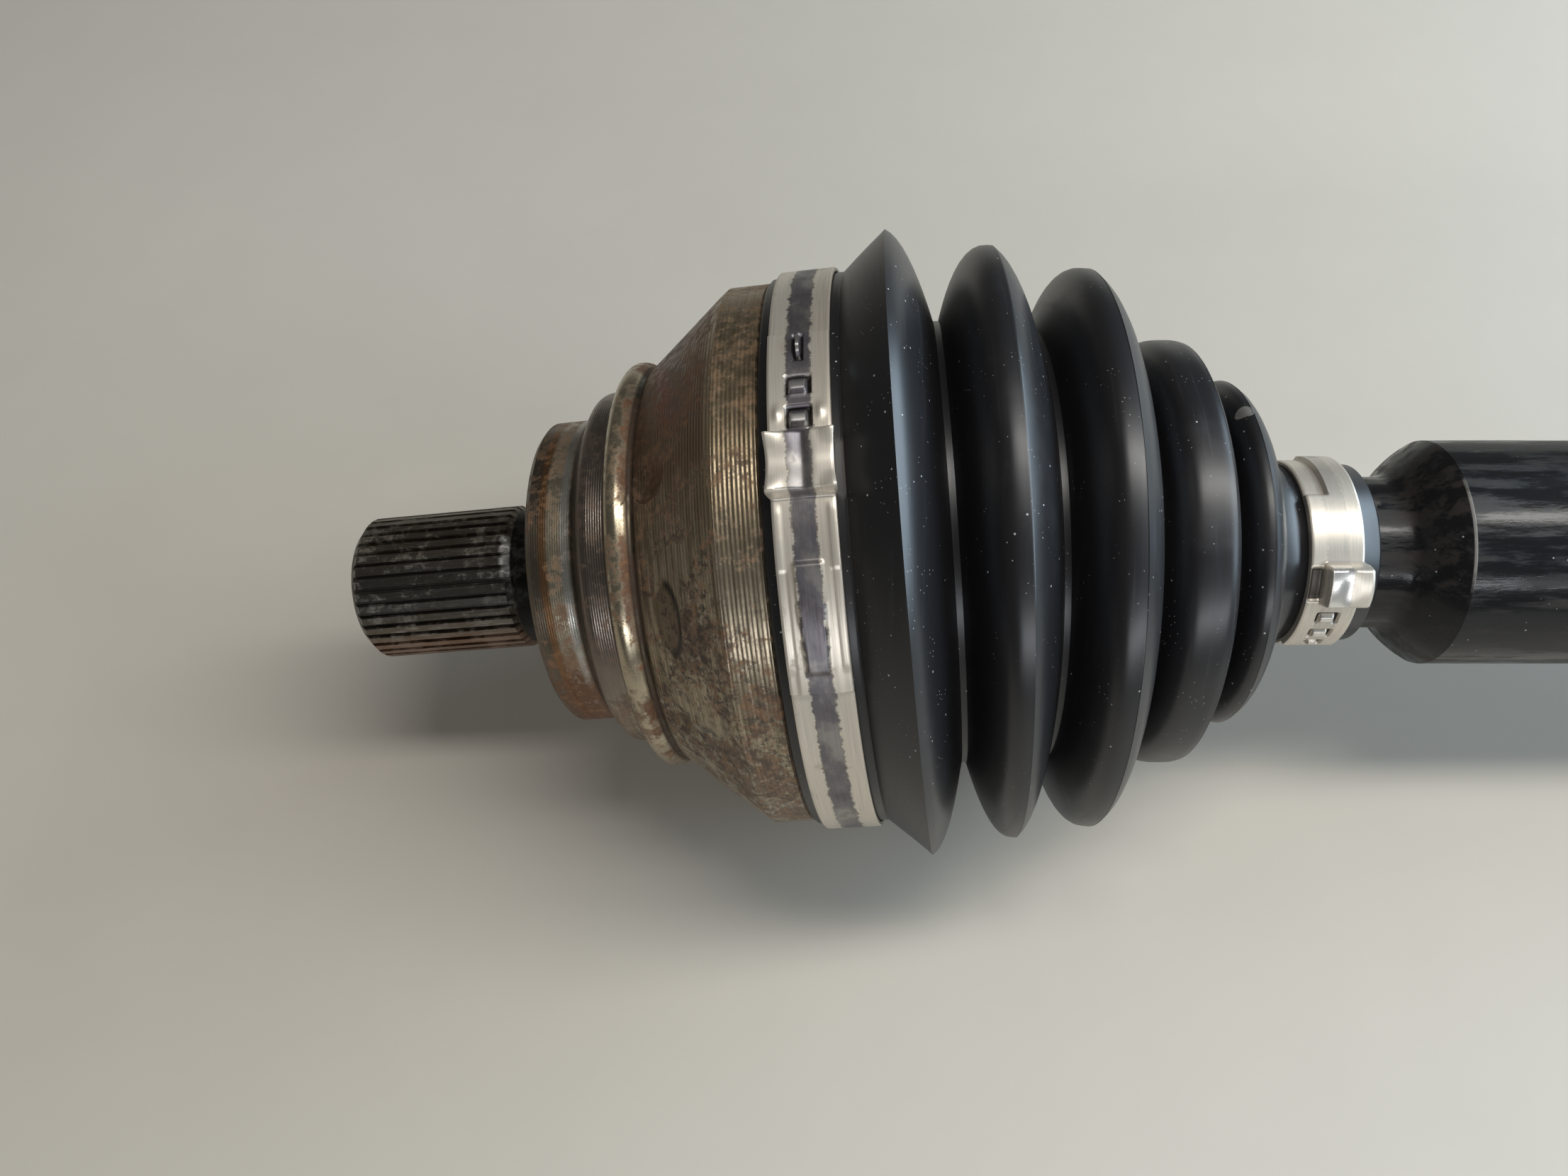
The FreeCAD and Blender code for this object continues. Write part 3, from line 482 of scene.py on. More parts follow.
    f.raise_by(f.rings(place, 0.77) * barrel, 0.050, 0.9)
    f.raise_by(f.rings(place, 0.60) * cone, 0.040, 0.9)
    f.raise_by(f.rings(place, 0.46) * (drum + register * 0.35), 0.030, 0.9)
    f.raise_by(grain * (1 - ground * 0.9) * (1 - bead * 0.6), 0.080, 0.6)
    f.raise_by(grit * (1 - ground) * (1 - bead * 0.8), 0.016, 0.4)
    metal = 0.95 - rust_share * 0.75 - oily * 0.30 - flecks * 0.5 - stub * (1 - tooth) * 0.5
    rough = 0.27 + rust_share * 0.36 - drum * 0.03 + cone * 0.06 - ground * 0.08 - bead * 0.10 + grain * 0.14
    return f.done(colour, rough - oily * 0.06, metal)


def strip_finish(name, centre, droop, way, band, strip, stripe, facing, windows, overlap):
    """Satin stainless strip, drawn lines, painted shade in window pits and at the overlap; stripe is how much of
    the ragged dark stripe shows.
    """
    f = Finish(name)
    along, radius, roll = f.local(centre, droop)
    start, width, inner = band
    first, last, half = windows
    across = along * way - (start + width / 2) / MM
    drawn = f.noise(1.0, 5.0, 0.65, f.vector(across * 9.0, roll * 3.0, 0.0))
    ragged = f.noise(1.0, 6.0, 0.75, f.vector(across * 0.5, roll * 34.0, 1.7))
    stain = f.noise(1.0, 4.0, 0.6, f.vector(across * 0.12, roll * 4.5, 6.0))
    grime = f.step(f.noise(170.0, 5.0, 0.65), 0.58, 0.70)
    c = colours()
    edge = f.math("ABSOLUTE", across + (ragged - 0.5) * 2.6)
    dark = f.step(edge, 2.05, 1.75) * stripe
    outline = f.band(edge, 1.80, 2.10, 0.12) * stripe * 0.55
    tint = f.mix((0.27, 0.255, 0.25, 1), tuple(c.stripe), f.step(stain, 0.38, 0.53))
    tint = f.mix(tint, (0.045, 0.038, 0.055, 1), f.step(stain, 0.54, 0.68) * 0.85)
    low = (inner + strip * 1.55) / MM
    angle = (facing - roll * way) * (180 / math.pi)
    aside = f.math("ABSOLUTE", across)
    opening = f.band(angle, first, last, 0.3) * f.step(aside, half, half - 0.2)
    # Inside each window, below the strip's surface, the colour turns near black: painted shade in the pit.
    pit_shade = f.step(radius, low, low - 0.30) * opening * f.step(radius, low - 2.2, low - 2.0)
    hook = opening * f.step(radius, low + 0.62, low + 0.75) * f.step(aside, 2.0, 1.8)
    colour = f.coats(
        tuple(c.strip),
        ((0.52, 0.49, 0.43, 1), f.step(drawn, 0.35, 0.70)),
        (tint, dark * (0.72 + drawn * 0.35)),
        ((0.09, 0.08, 0.075, 1), outline),
        ((0.20, 0.17, 0.14, 1), grime * 0.35),
        ((0.78, 0.76, 0.73, 1), hook * 0.9),
        ((0.022, 0.019, 0.018, 1), pit_shade * 0.9),
        # A dark line where the outer layer ends is painted shade under its edge.
        ((0.10, 0.09, 0.08, 1), f.band(angle, overlap, overlap + 0.35, 0.12) * 0.7))
    f.raise_by(drawn, 0.010, 0.3)
    f.raise_by(f.noise(150.0, 3.0), 0.04, 0.3)
    rough = 0.33 + drawn * 0.10 + dark * 0.04 + grime * 0.2 - hook * 0.12
    return f.done(colour, rough, 0.62 + dark * 0.2 + hook * 0.2)


def steel_finish(name, colour, roughness, pitch, centre, metal=0.95, rust=0.0):
    """Turned or ground steel with fine lines around the bar's axis."""
    f = Finish(name)
    along, radius = f.local(centre, 0.0)[:2]
    cloud = f.noise(60.0, 6.0, 0.6)
    grain = f.noise(600.0, 4.0, 0.6)
    darker = tuple(channel * 0.6 for channel in colour[:3]) + (1.0,)
    mixed = f.mix(colour, darker, f.step(cloud, 0.40, 0.66))
    if rust:
        rusty = f.step(cloud * 0.6 + grain * 0.4, 0.62, 0.70) * rust
        mixed = f.mix(mixed, tuple(colours().rust), rusty)
        metal = metal - rusty * 0.7
    f.raise_by(f.rings(along + radius, pitch), 0.02, 0.5)
    f.raise_by(grain, 0.04, 0.35)
    return f.done(mixed, roughness + grain * 0.12, metal)


def floor_finish():
    """Plain pale floor with a faint mottle."""
    f = Finish("floor_pale")
    c = tuple(colours().floor)
    darker = tuple(channel * 0.93 for channel in c[:3]) + (1.0,)
    colour = f.mix(c, darker, f.noise(34.0, 6.0, 0.7))
    return f.done(colour, 0.62)


# -------- building helpers

def linked(mesh, name, material=None):
    """An object in the scene for a mesh, at the origin."""
    piece = bpy.data.objects.new(name, mesh)
    bpy.context.scene.collection.objects.link(piece)
    if material:
        mesh.materials.append(material)
    return piece


def tidy(mesh, crease=38.0):
    """Merges doubles, points faces outwards and shades smoothly up to a crease angle."""
    work = bmesh.new()
    work.from_mesh(mesh)
    bmesh.ops.remove_doubles(work, verts=work.verts, dist=1e-7)
    bmesh.ops.recalc_face_normals(work, faces=work.faces)
    work.to_mesh(mesh)
    work.free()
    for polygon in mesh.polygons:
        polygon.use_smooth = True
    mesh.set_sharp_from_angle(angle=math.radians(crease))
    return mesh


def paint_nodes(names, material):
    """Gives CAD nodes a finish; their meshes stay as they are."""
    for name in names:
        node = frame["nodes"][name]
        node.data.materials.clear()
        node.data.materials.append(material)


# -------- boots

def ridge_outline(sizes, shell, wall, steps):
    """(place, radius) points over a boot's ridges, from lip to throat; wall thins the inside."""
    valleys = list(zip(sizes.valley_places, sizes.valley_radii))
    feet = [(sizes.lip[1], sizes.lip[3])] + valleys + [tuple(sizes.throat)]
    narrower = shell.valley_half + 0.7 * wall
    points = []
    for k, (place, radius) in enumerate(zip(sizes.places, sizes.radii)):
        shares = [math.sin(i / steps * math.pi / 2) for i in range(-steps, steps + 1)]
        if not wall and shell.seams[k] > 0:
            seam, beside = shell.seams[k], 0.03
            shares = sorted(set(shares + [seam, seam + beside, max(0.0, seam - beside)]))
        for share in shares:
            foot = feet[k] if share < 0 else feet[k + 1]
            curve = (-share) ** shell.near_power[k] if share < 0 else share ** shell.far_power[k]
            if share > 0:
                past_seam = max(0.0, share - shell.seams[k]) / (1 - shell.seams[k])
                curve = (1 - shell.seam_drop) * curve + shell.seam_drop * past_seam
            ridge = shell.seam_height if share == shell.seams[k] and not wall else 0.0
            reach = (abs(foot[0] - place) - narrower) * share
            points.append((place + reach, radius - (radius - foot[1]) * curve - wall + ridge))
    return points


def cut_outline(points, breaks):
    """Splits an outline at the valley bottoms nearest to the given places."""
    runs = []
    start = 0
    for place in breaks:
        end = min(range(len(points)), key=lambda k: abs(points[k][0] - place))
        runs.append(points[start:end + 1])
        start = end
    runs.append(points[start:])
    return runs


def bellows_tree():
    """Geometry nodes that turn a closed outline about the bar's axis and bend the shell at the joint."""
    tree = bpy.data.node_groups.new("bent_bellows", "GeometryNodeTree")
    tree.is_modifier = True
    face = tree.interface
    face.new_socket("Geometry", in_out="INPUT", socket_type="NodeSocketGeometry")
    inputs = {}
    for name, kind in (("Outline Points", "NodeSocketInt"), ("Steps Around", "NodeSocketInt"),
                       ("Centre", "NodeSocketVector"), ("Bend Angle", "NodeSocketFloat"),
                       ("Bend Start", "NodeSocketFloat"), ("Bend End", "NodeSocketFloat"),
                       ("Finish", "NodeSocketMaterial")):
        inputs[name] = face.new_socket(name, in_out="INPUT", socket_type=kind).identifier
    face.new_socket("Geometry", in_out="OUTPUT", socket_type="NodeSocketGeometry")

    def add(kind, settings=None, links=None):
        node = tree.nodes.new(kind)
        for key, value in (settings or {}).items():
            setattr(node, key, value)
        for key, value in (links or {}).items():
            if isinstance(value, bpy.types.NodeSocket):
                tree.links.new(value, node.inputs[key])
            else:
                node.inputs[key].default_value = value
        return node

    def number(operation, first, second=0.0):
        return add("ShaderNodeMath", {"operation": operation}, {0: first, 1: second}).outputs[0]

    given = tree.nodes.new("NodeGroupInput").outputs
    across = number("ADD", given["Steps Around"], 1)
    size = {"Size X": 1.0, "Size Y": 1.0, "Vertices X": given["Outline Points"], "Vertices Y": across}
    grid = add("GeometryNodeMeshGrid", None, size).outputs["Mesh"]
    index = add("GeometryNodeInputIndex").outputs[0]
    row = number("FLOOR", number("DIVIDE", number("ADD", index, 0.5), across))
    column = number("SUBTRACT", index, number("MULTIPLY", row, across))
    turn = number("MULTIPLY", number("DIVIDE", column, given["Steps Around"]), 2 * math.pi)
    here = add("GeometryNodeInputPosition").outputs[0]
    sample = add("GeometryNodeSampleIndex", {"data_type": "FLOAT_VECTOR"},
                 {"Geometry": given["Geometry"], "Value": here, "Index": row}).outputs["Value"]
    outline = add("ShaderNodeSeparateXYZ", None, {0: sample}).outputs
    side = number("MULTIPLY", outline["Z"], number("SINE", turn))
    up = number("MULTIPLY", outline["Z"], number("COSINE", turn))
    ring = add("ShaderNodeCombineXYZ", None, {0: outline["X"], 1: side, 2: up}).outputs[0]
    share = add("ShaderNodeMapRange", {"interpolation_type": "SMOOTHSTEP"},
                {"Value": number("ABSOLUTE", outline["X"]), "From Min": given["Bend Start"],
                 "From Max": given["Bend End"]}).outputs["Result"]
    angle = number("MULTIPLY", given["Bend Angle"], number("SUBTRACT", 1.0, share))
    bent = add("ShaderNodeVectorRotate", {"rotation_type": "Y_AXIS"},
               {"Vector": ring, "Angle": angle}).outputs[0]
    placed = add("ShaderNodeVectorMath", {"operation": "ADD"}, {0: bent, 1: given["Centre"]}).outputs[0]
    moved = add("GeometryNodeSetPosition", None, {"Geometry": grid, "Position": placed}).outputs[0]
    merged = add("GeometryNodeMergeByDistance", None, {"Geometry": moved, "Distance": 1e-7}).outputs[0]
    real = add("GeometryNodeRealizeInstances", None, {"Geometry": merged}).outputs[0]
    painted = add("GeometryNodeSetMaterial", None, {"Geometry": real, "Material": given["Finish"]}).outputs[0]
    tree.links.new(painted, tree.nodes.new("NodeGroupOutput").inputs[0])
    return tree, inputs


def bellows(name, outline, tree, centre, bend_angle, bend_run, way, around, material):
    """One closed stretch of boot from its outline, made by the bellows tree and kept as a plain mesh."""
    mesh = bpy.data.meshes.new(name + "_outline")
    closed = outline + outline[:1]
    mesh.from_pydata([(way * place, 0.0, radius) for place, radius in closed],
                     [(k, k + 1) for k in range(len(closed) - 1)], [])
    holder = linked(mesh, name + "_maker")
    modifier = holder.modifiers.new("bellows", "NODES")
    modifier.node_group, sockets = tree
    values = {"Outline Points": len(closed), "Steps Around": around, "Centre": centre, "Finish": material,
              "Bend Angle": bend_angle, "Bend Start": bend_run[0], "Bend End": bend_run[1]}
    for key, value in values.items():
        modifier[sockets[key]] = value
    holder.data.update()
    bpy.context.view_layer.update()
    evaluated = holder.evaluated_get(bpy.context.evaluated_depsgraph_get())
    plain = bpy.data.meshes.new_from_object(evaluated)
    holder.modifiers.remove(modifier)
    bpy.data.objects.remove(holder)
    plain.name = name
    tidy(plain, 50.0)
    return linked(plain, name)


def boot_stretches(sizes, shell, breaks):
    """Closed outlines of a boot's stretches, outside and inside, from the lip to the collar."""
    lip, collar = tuple(sizes.lip), tuple(sizes.collar)
    edge = 0.0005
    outer_start = [(lip[0], lip[3] - edge), (lip[0] + edge, lip[3]), (lip[1], lip[3])]
    outer_end = [(collar[0], collar[3]), (collar[1] - edge, collar[3]), (collar[1], collar[3] - edge)]
    inner_start = [(lip[0], lip[2]), (lip[1] + 0.0008, lip[2])]
    inner_end = [(collar[0] - edge, collar[3] - shell.wall), (collar[0] + 3 * edge, collar[2]),
                 (collar[1], collar[2])]
    outer = cut_outline(outer_start + ridge_outline(sizes, shell, 0.0, shell.flank_steps) + outer_end, breaks)
    inner = cut_outline(inner_start + ridge_outline(sizes, shell, shell.wall, 5) + inner_end, breaks)
    return [out + back[::-1] for out, back in zip(outer, inner)]


def make_boot(node, sizes, shell, breaks, last, bodies, centre, bend_angle, bend_run, way, finish):
    """Makes a boot in stretches, each kept as a plain mesh, and hides the boot's CAD node."""
    tree = bellows_tree()
    ends = [sizes.lip[1] + 0.001] + breaks + [last]
    for k, outline in enumerate(boot_stretches(sizes, shell, breaks)):
        piece = bellows("%s_stretch_%d" % (node, k + 1), outline, tree, centre, bend_angle, bend_run, way,
                        shell.around, finish)
        start, end = (centre + Vector((way * place, 0, 0)) for place in ends[k:k + 2])
        bodies[k + 1]
        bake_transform(piece)
        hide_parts(node)


class ShaftPiece:
    """What every operator of this file shares."""
    bl_options = {"REGISTER", "UNDO"}


class SHAFT_OT_wheel_boot(ShaftPiece, bpy.types.Operator):
    """Makes the five-ridge boot in four stretches"""
    bl_idname = "shaft.wheel_boot"
    bl_label = "Wheel boot"

    def execute(self, context):
        sizes, shell = context.scene.shaft_boot, context.scene.shaft_shell
        finish = boot_finish("boot_black", WHEEL_CENTRE, 0.0, tuple(sizes.pip))
        breaks = [sizes.valley_places[0], sizes.valley_places[2], sizes.throat[0]]
        bodies = ["wheel_joint_bell", "wheel_joint_bottom_ball", "wheel_joint_cage", "wheel_joint_top_ball",
                  "shaft"]
        make_boot("wheel_boot", sizes, shell, breaks, sizes.collar[0] + 0.001, bodies, WHEEL_CENTRE, -DROOP,
                  tuple(sizes.bend), way=1, finish=finish)
        return {"FINISHED"}


class SHAFT_OT_gear_boot(ShaftPiece, bpy.types.Operator):
    """Makes the gearbox boot in three stretches"""
    bl_idname = "shaft.gear_boot"
    bl_label = "Gearbox boot"

    def execute(self, context):
        sizes, shell = context.scene.shaft_gear_boot, context.scene.shaft_shell
        finish = boot_finish("gear_boot_black", GEAR_CENTRE, 0.0)
        breaks = list(sizes.valley_places)[1:]
        bodies = ["gearbox_joint_housing", "gearbox_joint_bottom_ball", "gearbox_joint_cage", "shaft"]
        make_boot("gearbox_boot", sizes, shell, breaks, sizes.collar[0], bodies, GEAR_CENTRE, 0.0,
                  (sizes.lip[1], sizes.throat[0]), way=-1, finish=finish)
        return {"FINISHED"}


# -------- strip clamps

def ease(value, low, high):
    """Smooth step in Python."""
    if low == high:
        return 1.0 if value >= high else 0.0
    share = min(1.0, max(0.0, (value - low) / (high - low)))
    return share * share * (3 - 2 * share)


def hump(value, low, high, soft):
    """1 between low and high with soft ends."""
    return ease(value, low - soft, low + soft) * (1 - ease(value, high - soft, high + soft))


def pocket(angle, across, place, length, width, soft_angle, soft):
    """How deep a point is inside a window."""
    along = hump(angle, place - length / 2, place + length / 2, soft_angle)
    return along * hump(across, -width / 2, width / 2, soft)


def pillow(u, across, high):
    """A pressed ear with a full, rounded back and a soft dimple."""
    dimple = 0.16 * math.exp(-(u / 0.6) ** 2 - ((across - 1.3) / 1.5) ** 2)
    return high * (1 - ease(abs(u), 0.72, 1.05)) * (1 - 0.16 * u * u - dimple)


def saddle(u, across, high):
    """A pressed ear: raised rims towards both ends, a dip along its middle and flared corners."""
    if abs(u) > 1.1:
        return 0.0
    shoulder = 1 - ease(abs(u), 0.84, 1.06)
    dip = 0.26 * math.exp(-(u / 0.55) ** 2)
    trough = 0.24 * math.exp(-((across - 0.3) / 1.1) ** 2)
    corner = 0.22 * ease(abs(u), 0.35, 0.9) * ease(abs(across), 2.4, 5.0)
    return high * shoulder * (1 - dip - trough + corner)


def window(angle, across, place, length, width, strip, soft_angle):
    """A hook window: cut through the outer layer, with the hook's dome standing in it."""
    cut = strip * pocket(angle, across, place, length, width, soft_angle, 0.16)
    reach = length * 0.40
    dome = 1.45 * strip * math.exp(-((angle - place + length * 0.08) / reach) ** 4)
    return dome * hump(across, -width / 2 + 0.55, width / 2 - 0.75, 0.35) - cut


def large_relief(angle, across, strip):
    """Height of the large clamp over its plain strip; angle in degrees from the facing side, across in mm."""
    free_end, ear_place, prong, fold = -24.6, 14.75, 38.2, 41.6
    height = strip * hump(angle, free_end, fold, 0.3)
    height -= 0.25 * strip * hump(angle, free_end, -2.8, 0.4) * hump(abs(across), 3.6, 6.0, 0.3)
    height -= strip * pocket(angle, across, 37.6, 6.2, 1.7, 0.3, 0.16)
    height += 2.1 * math.exp(-((angle - prong) / 2.2) ** 4) * hump(across, -0.42, 0.42, 0.16)
    for place in (29.4, 23.1):
        height += window(angle, across, place, 3.9, 4.3, strip, 0.25)
    for side in (-1, 1):
        height += 0.35 * math.exp(-((angle - 24.0) / 1.2) ** 2 - ((across - side * 3.6) / 0.7) ** 2)
    height += saddle((angle - ear_place) / 5.5, across, 2.5)
    tongue = hump(angle, -20.4, -1.6, 0.45)
    half = 1.9 + 0.5 * ease(angle, -20.0, -4.0)
    height += 0.72 * tongue * hump(across, -half, half, 0.3)
    height += 0.18 * hump(angle, -20.0, 7.5, 1.0) * hump(abs(across), 3.9, 6.0, 0.3)
    return height


def small_relief(angle, across, strip):
    """Height of the small clamp over its plain strip."""
    free_end, ear_place, cut, fold = -75.0, -20.4, 33.0, 88.0
    height = strip * hump(angle, free_end, fold, 1.0)
    height -= strip * hump(angle, cut, fold, 0.9) * (1 - ease(across, -1.0, -0.6))
    for place, length, width in ((-43.0, 8.0, 4.2), (-56.5, 8.0, 4.2), (-68.0, 6.0, 3.2)):
        height += window(angle, across, place, length, width, strip, 0.9)
    height -= strip * pocket(angle, across + 3.6, -20.6, 19.0, 2.4, 1.2, 0.25)
    height += pillow((angle - ear_place) / 12.6, across, 3.3) * hump(across, -2.3, 9.0, 0.45)
    return height


def plain_relief(angle, across, strip):
    """Height of a gearbox clamp over its plain strip."""
    return strip * hump(angle, -37.0, 8.0, 0.5) + saddle((angle + 10.0) / 5.6, across, 1.0)


def turned_about(centre, turn, way, roll, outline):
    """Points of a (place, radius) outline at one roll about the bar's or the stub's axis."""
    return [centre + turn @ Vector((way * place, -way * radius * math.sin(roll), radius * math.cos(roll)))
            for place, radius in outline]


def ring_piece(name, rings, crease, material):
    """A closed piece that joins each ring of points to the next and the last to the first."""
    row, total = len(rings[0]), len(rings)
    faces = [(k * row + j, k * row + (j + 1) % row, (k + 1) % total * row + (j + 1) % row,
              (k + 1) % total * row + j) for k in range(total) for j in range(row)]
    mesh = bpy.data.meshes.new(name)
    mesh.from_pydata([point for ring in rings for point in ring], [], faces)
    return linked(tidy(mesh, crease), name, material)


def pressed_strip(name, sizes, strip, facing, relief, fine, ear, grid, centre, droop, way, material):
    """A strip clamp as one closed ring whose outside carries a pressed relief; its ear is a little wider."""
    start, width, inner = sizes
    fine_start, fine_end = (math.radians(value) for value in fine)
    ear_start, ear_end, ear_spread, waisted = ear
    step = grid / (inner + strip)
    angles = []
    angle = fine_start
    while angle < fine_end:
        angles.append(angle)
        angle += step
    rest = 2 * math.pi - (angle - fine_start)
    coarse = max(24, int(rest / math.radians(2.5)))
    angles += [angle + rest * k / coarse for k in range(coarse)]
    count = round(width / grid)
    turn = Matrix.Rotation(-droop, 3, "Y")
    rings = []
    for angle in angles:
        degrees = math.degrees(angle)
        degrees = degrees - 360 if degrees > 180 else degrees
        u = (2 * degrees - ear_start - ear_end) / (ear_end - ear_start)
        waist = min(1.0, u * u) if waisted else 1 - 0.4 * min(1.0, u * u)
        spread = (1 - ease(abs(u), 0.9, 1.05)) * ear_spread * (0.35 + 0.65 * waist)
        outline = []
        for lane in (k / count for k in range(count + 1)):
            across = (lane - 0.5) * width / MM
            height = relief(degrees, across, strip / MM) * MM
            rim = (width / 2 / MM - abs(across)) / 0.35
            rounding = 0.22 * MM * (1 - math.sqrt(1 - (1 - min(1.0, rim)) ** 2))
            raised = ease(height / MM, 1.1 * strip / MM, 2.0 * strip / MM)
            outline.append((start + lane * width + across * MM * spread * raised,
                            inner + strip + height - rounding))
        outline += [(start + width, inner), (start, inner)]
        rings.append(turned_about(centre, turn, way, facing - angle, outline))
    return ring_piece(name, rings, 45.0, material)


class SHAFT_OT_clamps(ShaftPiece, bpy.types.Operator):
    """Makes the four strip clamps with their pressed ears, hook windows and tongue"""
    bl_idname = "shaft.clamps"
    bl_label = "Strip clamps"

    def execute(self, context):
        sizes = context.scene.shaft_clamps
        # Facing side, relief, finely pressed stretch, ear (start, end, spread, waisted), windows (start, end,
        # half width) and the overlap's end; angles from the facing side in degrees, widths in millimetres.
        large = (sizes.large_facing, large_relief, (-27.0, 44.0), (9.2, 20.3, 0.13, True),
                 (20.0, 42.0, 3.2), 41.6)
        small = (sizes.small_facing, small_relief, (-78.0, 91.0), (-33.0, -7.8, 0.17, False),
                 (-76.0, -9.0, 4.9), 88.0)
        plain = (sizes.small_facing, plain_relief, (-40.0, 11.0), (-15.6, -4.4, 0.05, True),
                 (90.0, 91.0, 3.2), 8.0)
        makes = (
            ("large_clamp_pressed", sizes.large, large, (WHEEL_CENTRE, DROOP, 1), 1.0,
             "wheel_boot_large_clamp", "wheel_joint_bell"),
            ("small_clamp_pressed", sizes.small, small, (WHEEL_CENTRE, 0.0, 1), 0.2,
             "wheel_boot_small_clamp", "shaft"),
            ("gearbox_large_clamp_pressed", sizes.gear_large, plain, (GEAR_CENTRE, 0.0, -1), 0.8,
             "gearbox_boot_large_clamp", "gearbox_joint_housing"),
            ("gearbox_small_clamp_pressed", sizes.gear_small, small, (GEAR_CENTRE, 0.0, -1), 0.2,
             "gearbox_boot_small_clamp", "shaft"),
        )
        for name, band, end, seat, stripe, node, body in makes:
            facing, relief, fine, ear, windows, overlap = end
            finish = strip_finish(name + "_steel", *seat, band, sizes.strip, stripe, facing, windows, overlap)
            piece = pressed_strip(name, band, sizes.strip, facing, relief, fine, ear, sizes.grid, *seat,
                                  finish)
            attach(piece, body)
            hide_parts(node)
        return {"FINISHED"}


# -------- finishes of the CAD nodes

class SHAFT_OT_metal(ShaftPiece, bpy.types.Operator):
    """Finishes the bell, bar, housing and the joints' insides"""
    bl_idname = "shaft.metal"
    bl_label = "Metal finishes"

    def execute(self, context):
        forging = bell_finish()
        paint_nodes(["wheel_joint_outer_race"], forging)
        bead = context.scene.shaft_bead
        shares = [2 * k / bead.across - 1 for k in range(bead.across + 1)]
        rise = bead.crest - bead.foot
        outline = [(bead.middle + bead.half * share, bead.foot + rise * (1 - abs(share) ** bead.power))
                   for share in shares]
        outline += [(bead.middle + bead.half, bead.bore), (bead.middle - bead.half, bead.bore)]
        turn = Matrix.Rotation(-DROOP, 3, "Y")
        rings = [turned_about(WHEEL_CENTRE, turn, -1, 2 * math.pi * k / bead.around, outline)
                 for k in range(bead.around)]
        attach(ring_piece("bell_bead", rings, 38.0, forging), "wheel_joint_bell")
        paint_nodes(["bar_tube", "bar_end_wheel_side", "bar_end_gearbox_side"], paint_finish())
        makes = (
            (("ground_races", (0.45, 0.44, 0.42, 1), 0.22, 0.5, WHEEL_CENTRE),
             ["wheel_joint_inner_race", "wheel_joint_cage", "gearbox_joint_inner_race",
              "gearbox_joint_cage"]),
            (("polished_balls", (0.62, 0.62, 0.63, 1), 0.06, 3.0, WHEEL_CENTRE),
             ["wheel_joint_side_balls", "wheel_joint_top_ball", "wheel_joint_bottom_ball",
              "gearbox_joint_balls", "gearbox_joint_bottom_ball"]),
            (("blued_wire", (0.10, 0.10, 0.12, 1), 0.30, 0.7, GEAR_CENTRE),
             ["wheel_joint_circlip", "gearbox_joint_circlip", "gearbox_joint_stop_ring"]),
            (("housing_turned_steel", tuple(colours().steel), 0.36, 0.7, GEAR_CENTRE, 0.92, 0.9),
             ["gearbox_joint_housing"]),
            (("zinc_sheet", (0.48, 0.47, 0.43, 1), 0.34, 1.1, GEAR_CENTRE, 0.9, 0.35),
             ["gearbox_joint_end_cap"]),
        )
        for settings, nodes in makes:
            paint_nodes(nodes, steel_finish(*settings))
        return {"FINISHED"}


# -------- stage

# Name, place from the wheel joint's centre, width and height, power and colour of each lamp. They aim at a
# point a little along the bar.
LAMPS = (
    ("lamp_window", (1.05, 0.10, 0.50), (1.35, 0.50), 16.5, (0.66, 0.84, 1.0)),
    ("lamp_ceiling", (0.38, 0.02, 0.92), (0.15, 1.2), 8.0, (1.0, 0.98, 0.94)),
    ("lamp_front", (0.22, -0.95, 0.42), (1.1, 0.09), 3.8, (0.93, 0.96, 1.0)),
)
# The floor leans so that it lies just under the wheel boot and under the housing's lobes. CLEAR is the gap
# below each; TOUCH is its place, from the wheel joint's centre and from the housing's end.
BOOT_CLEAR, LOBE_CLEAR = 0.0006, 0.0004
BOOT_TOUCH, LOBE_TOUCH = 0.030, 0.006
FLOOR_REACH = 3.0
WORLD_COLOUR, WORLD_STRENGTH = (0.84, 0.82, 0.78, 1), 0.10
AIM_ALONG = 0.02


def area_lamp(name, place, aim, size, watts, colour):
    """A soft rectangular lamp that points at a spot."""
    lamp = bpy.data.lights.new(name, "AREA")
    lamp.shape = "RECTANGLE"
    lamp.size, lamp.size_y = size
    lamp.energy = watts
    lamp.color = colour
    holder = bpy.data.objects.new(name, lamp)
    bpy.context.scene.collection.objects.link(holder)
    holder.location = place
    holder.rotation_euler = (aim - place).to_track_quat("-Z", "Y").to_euler()


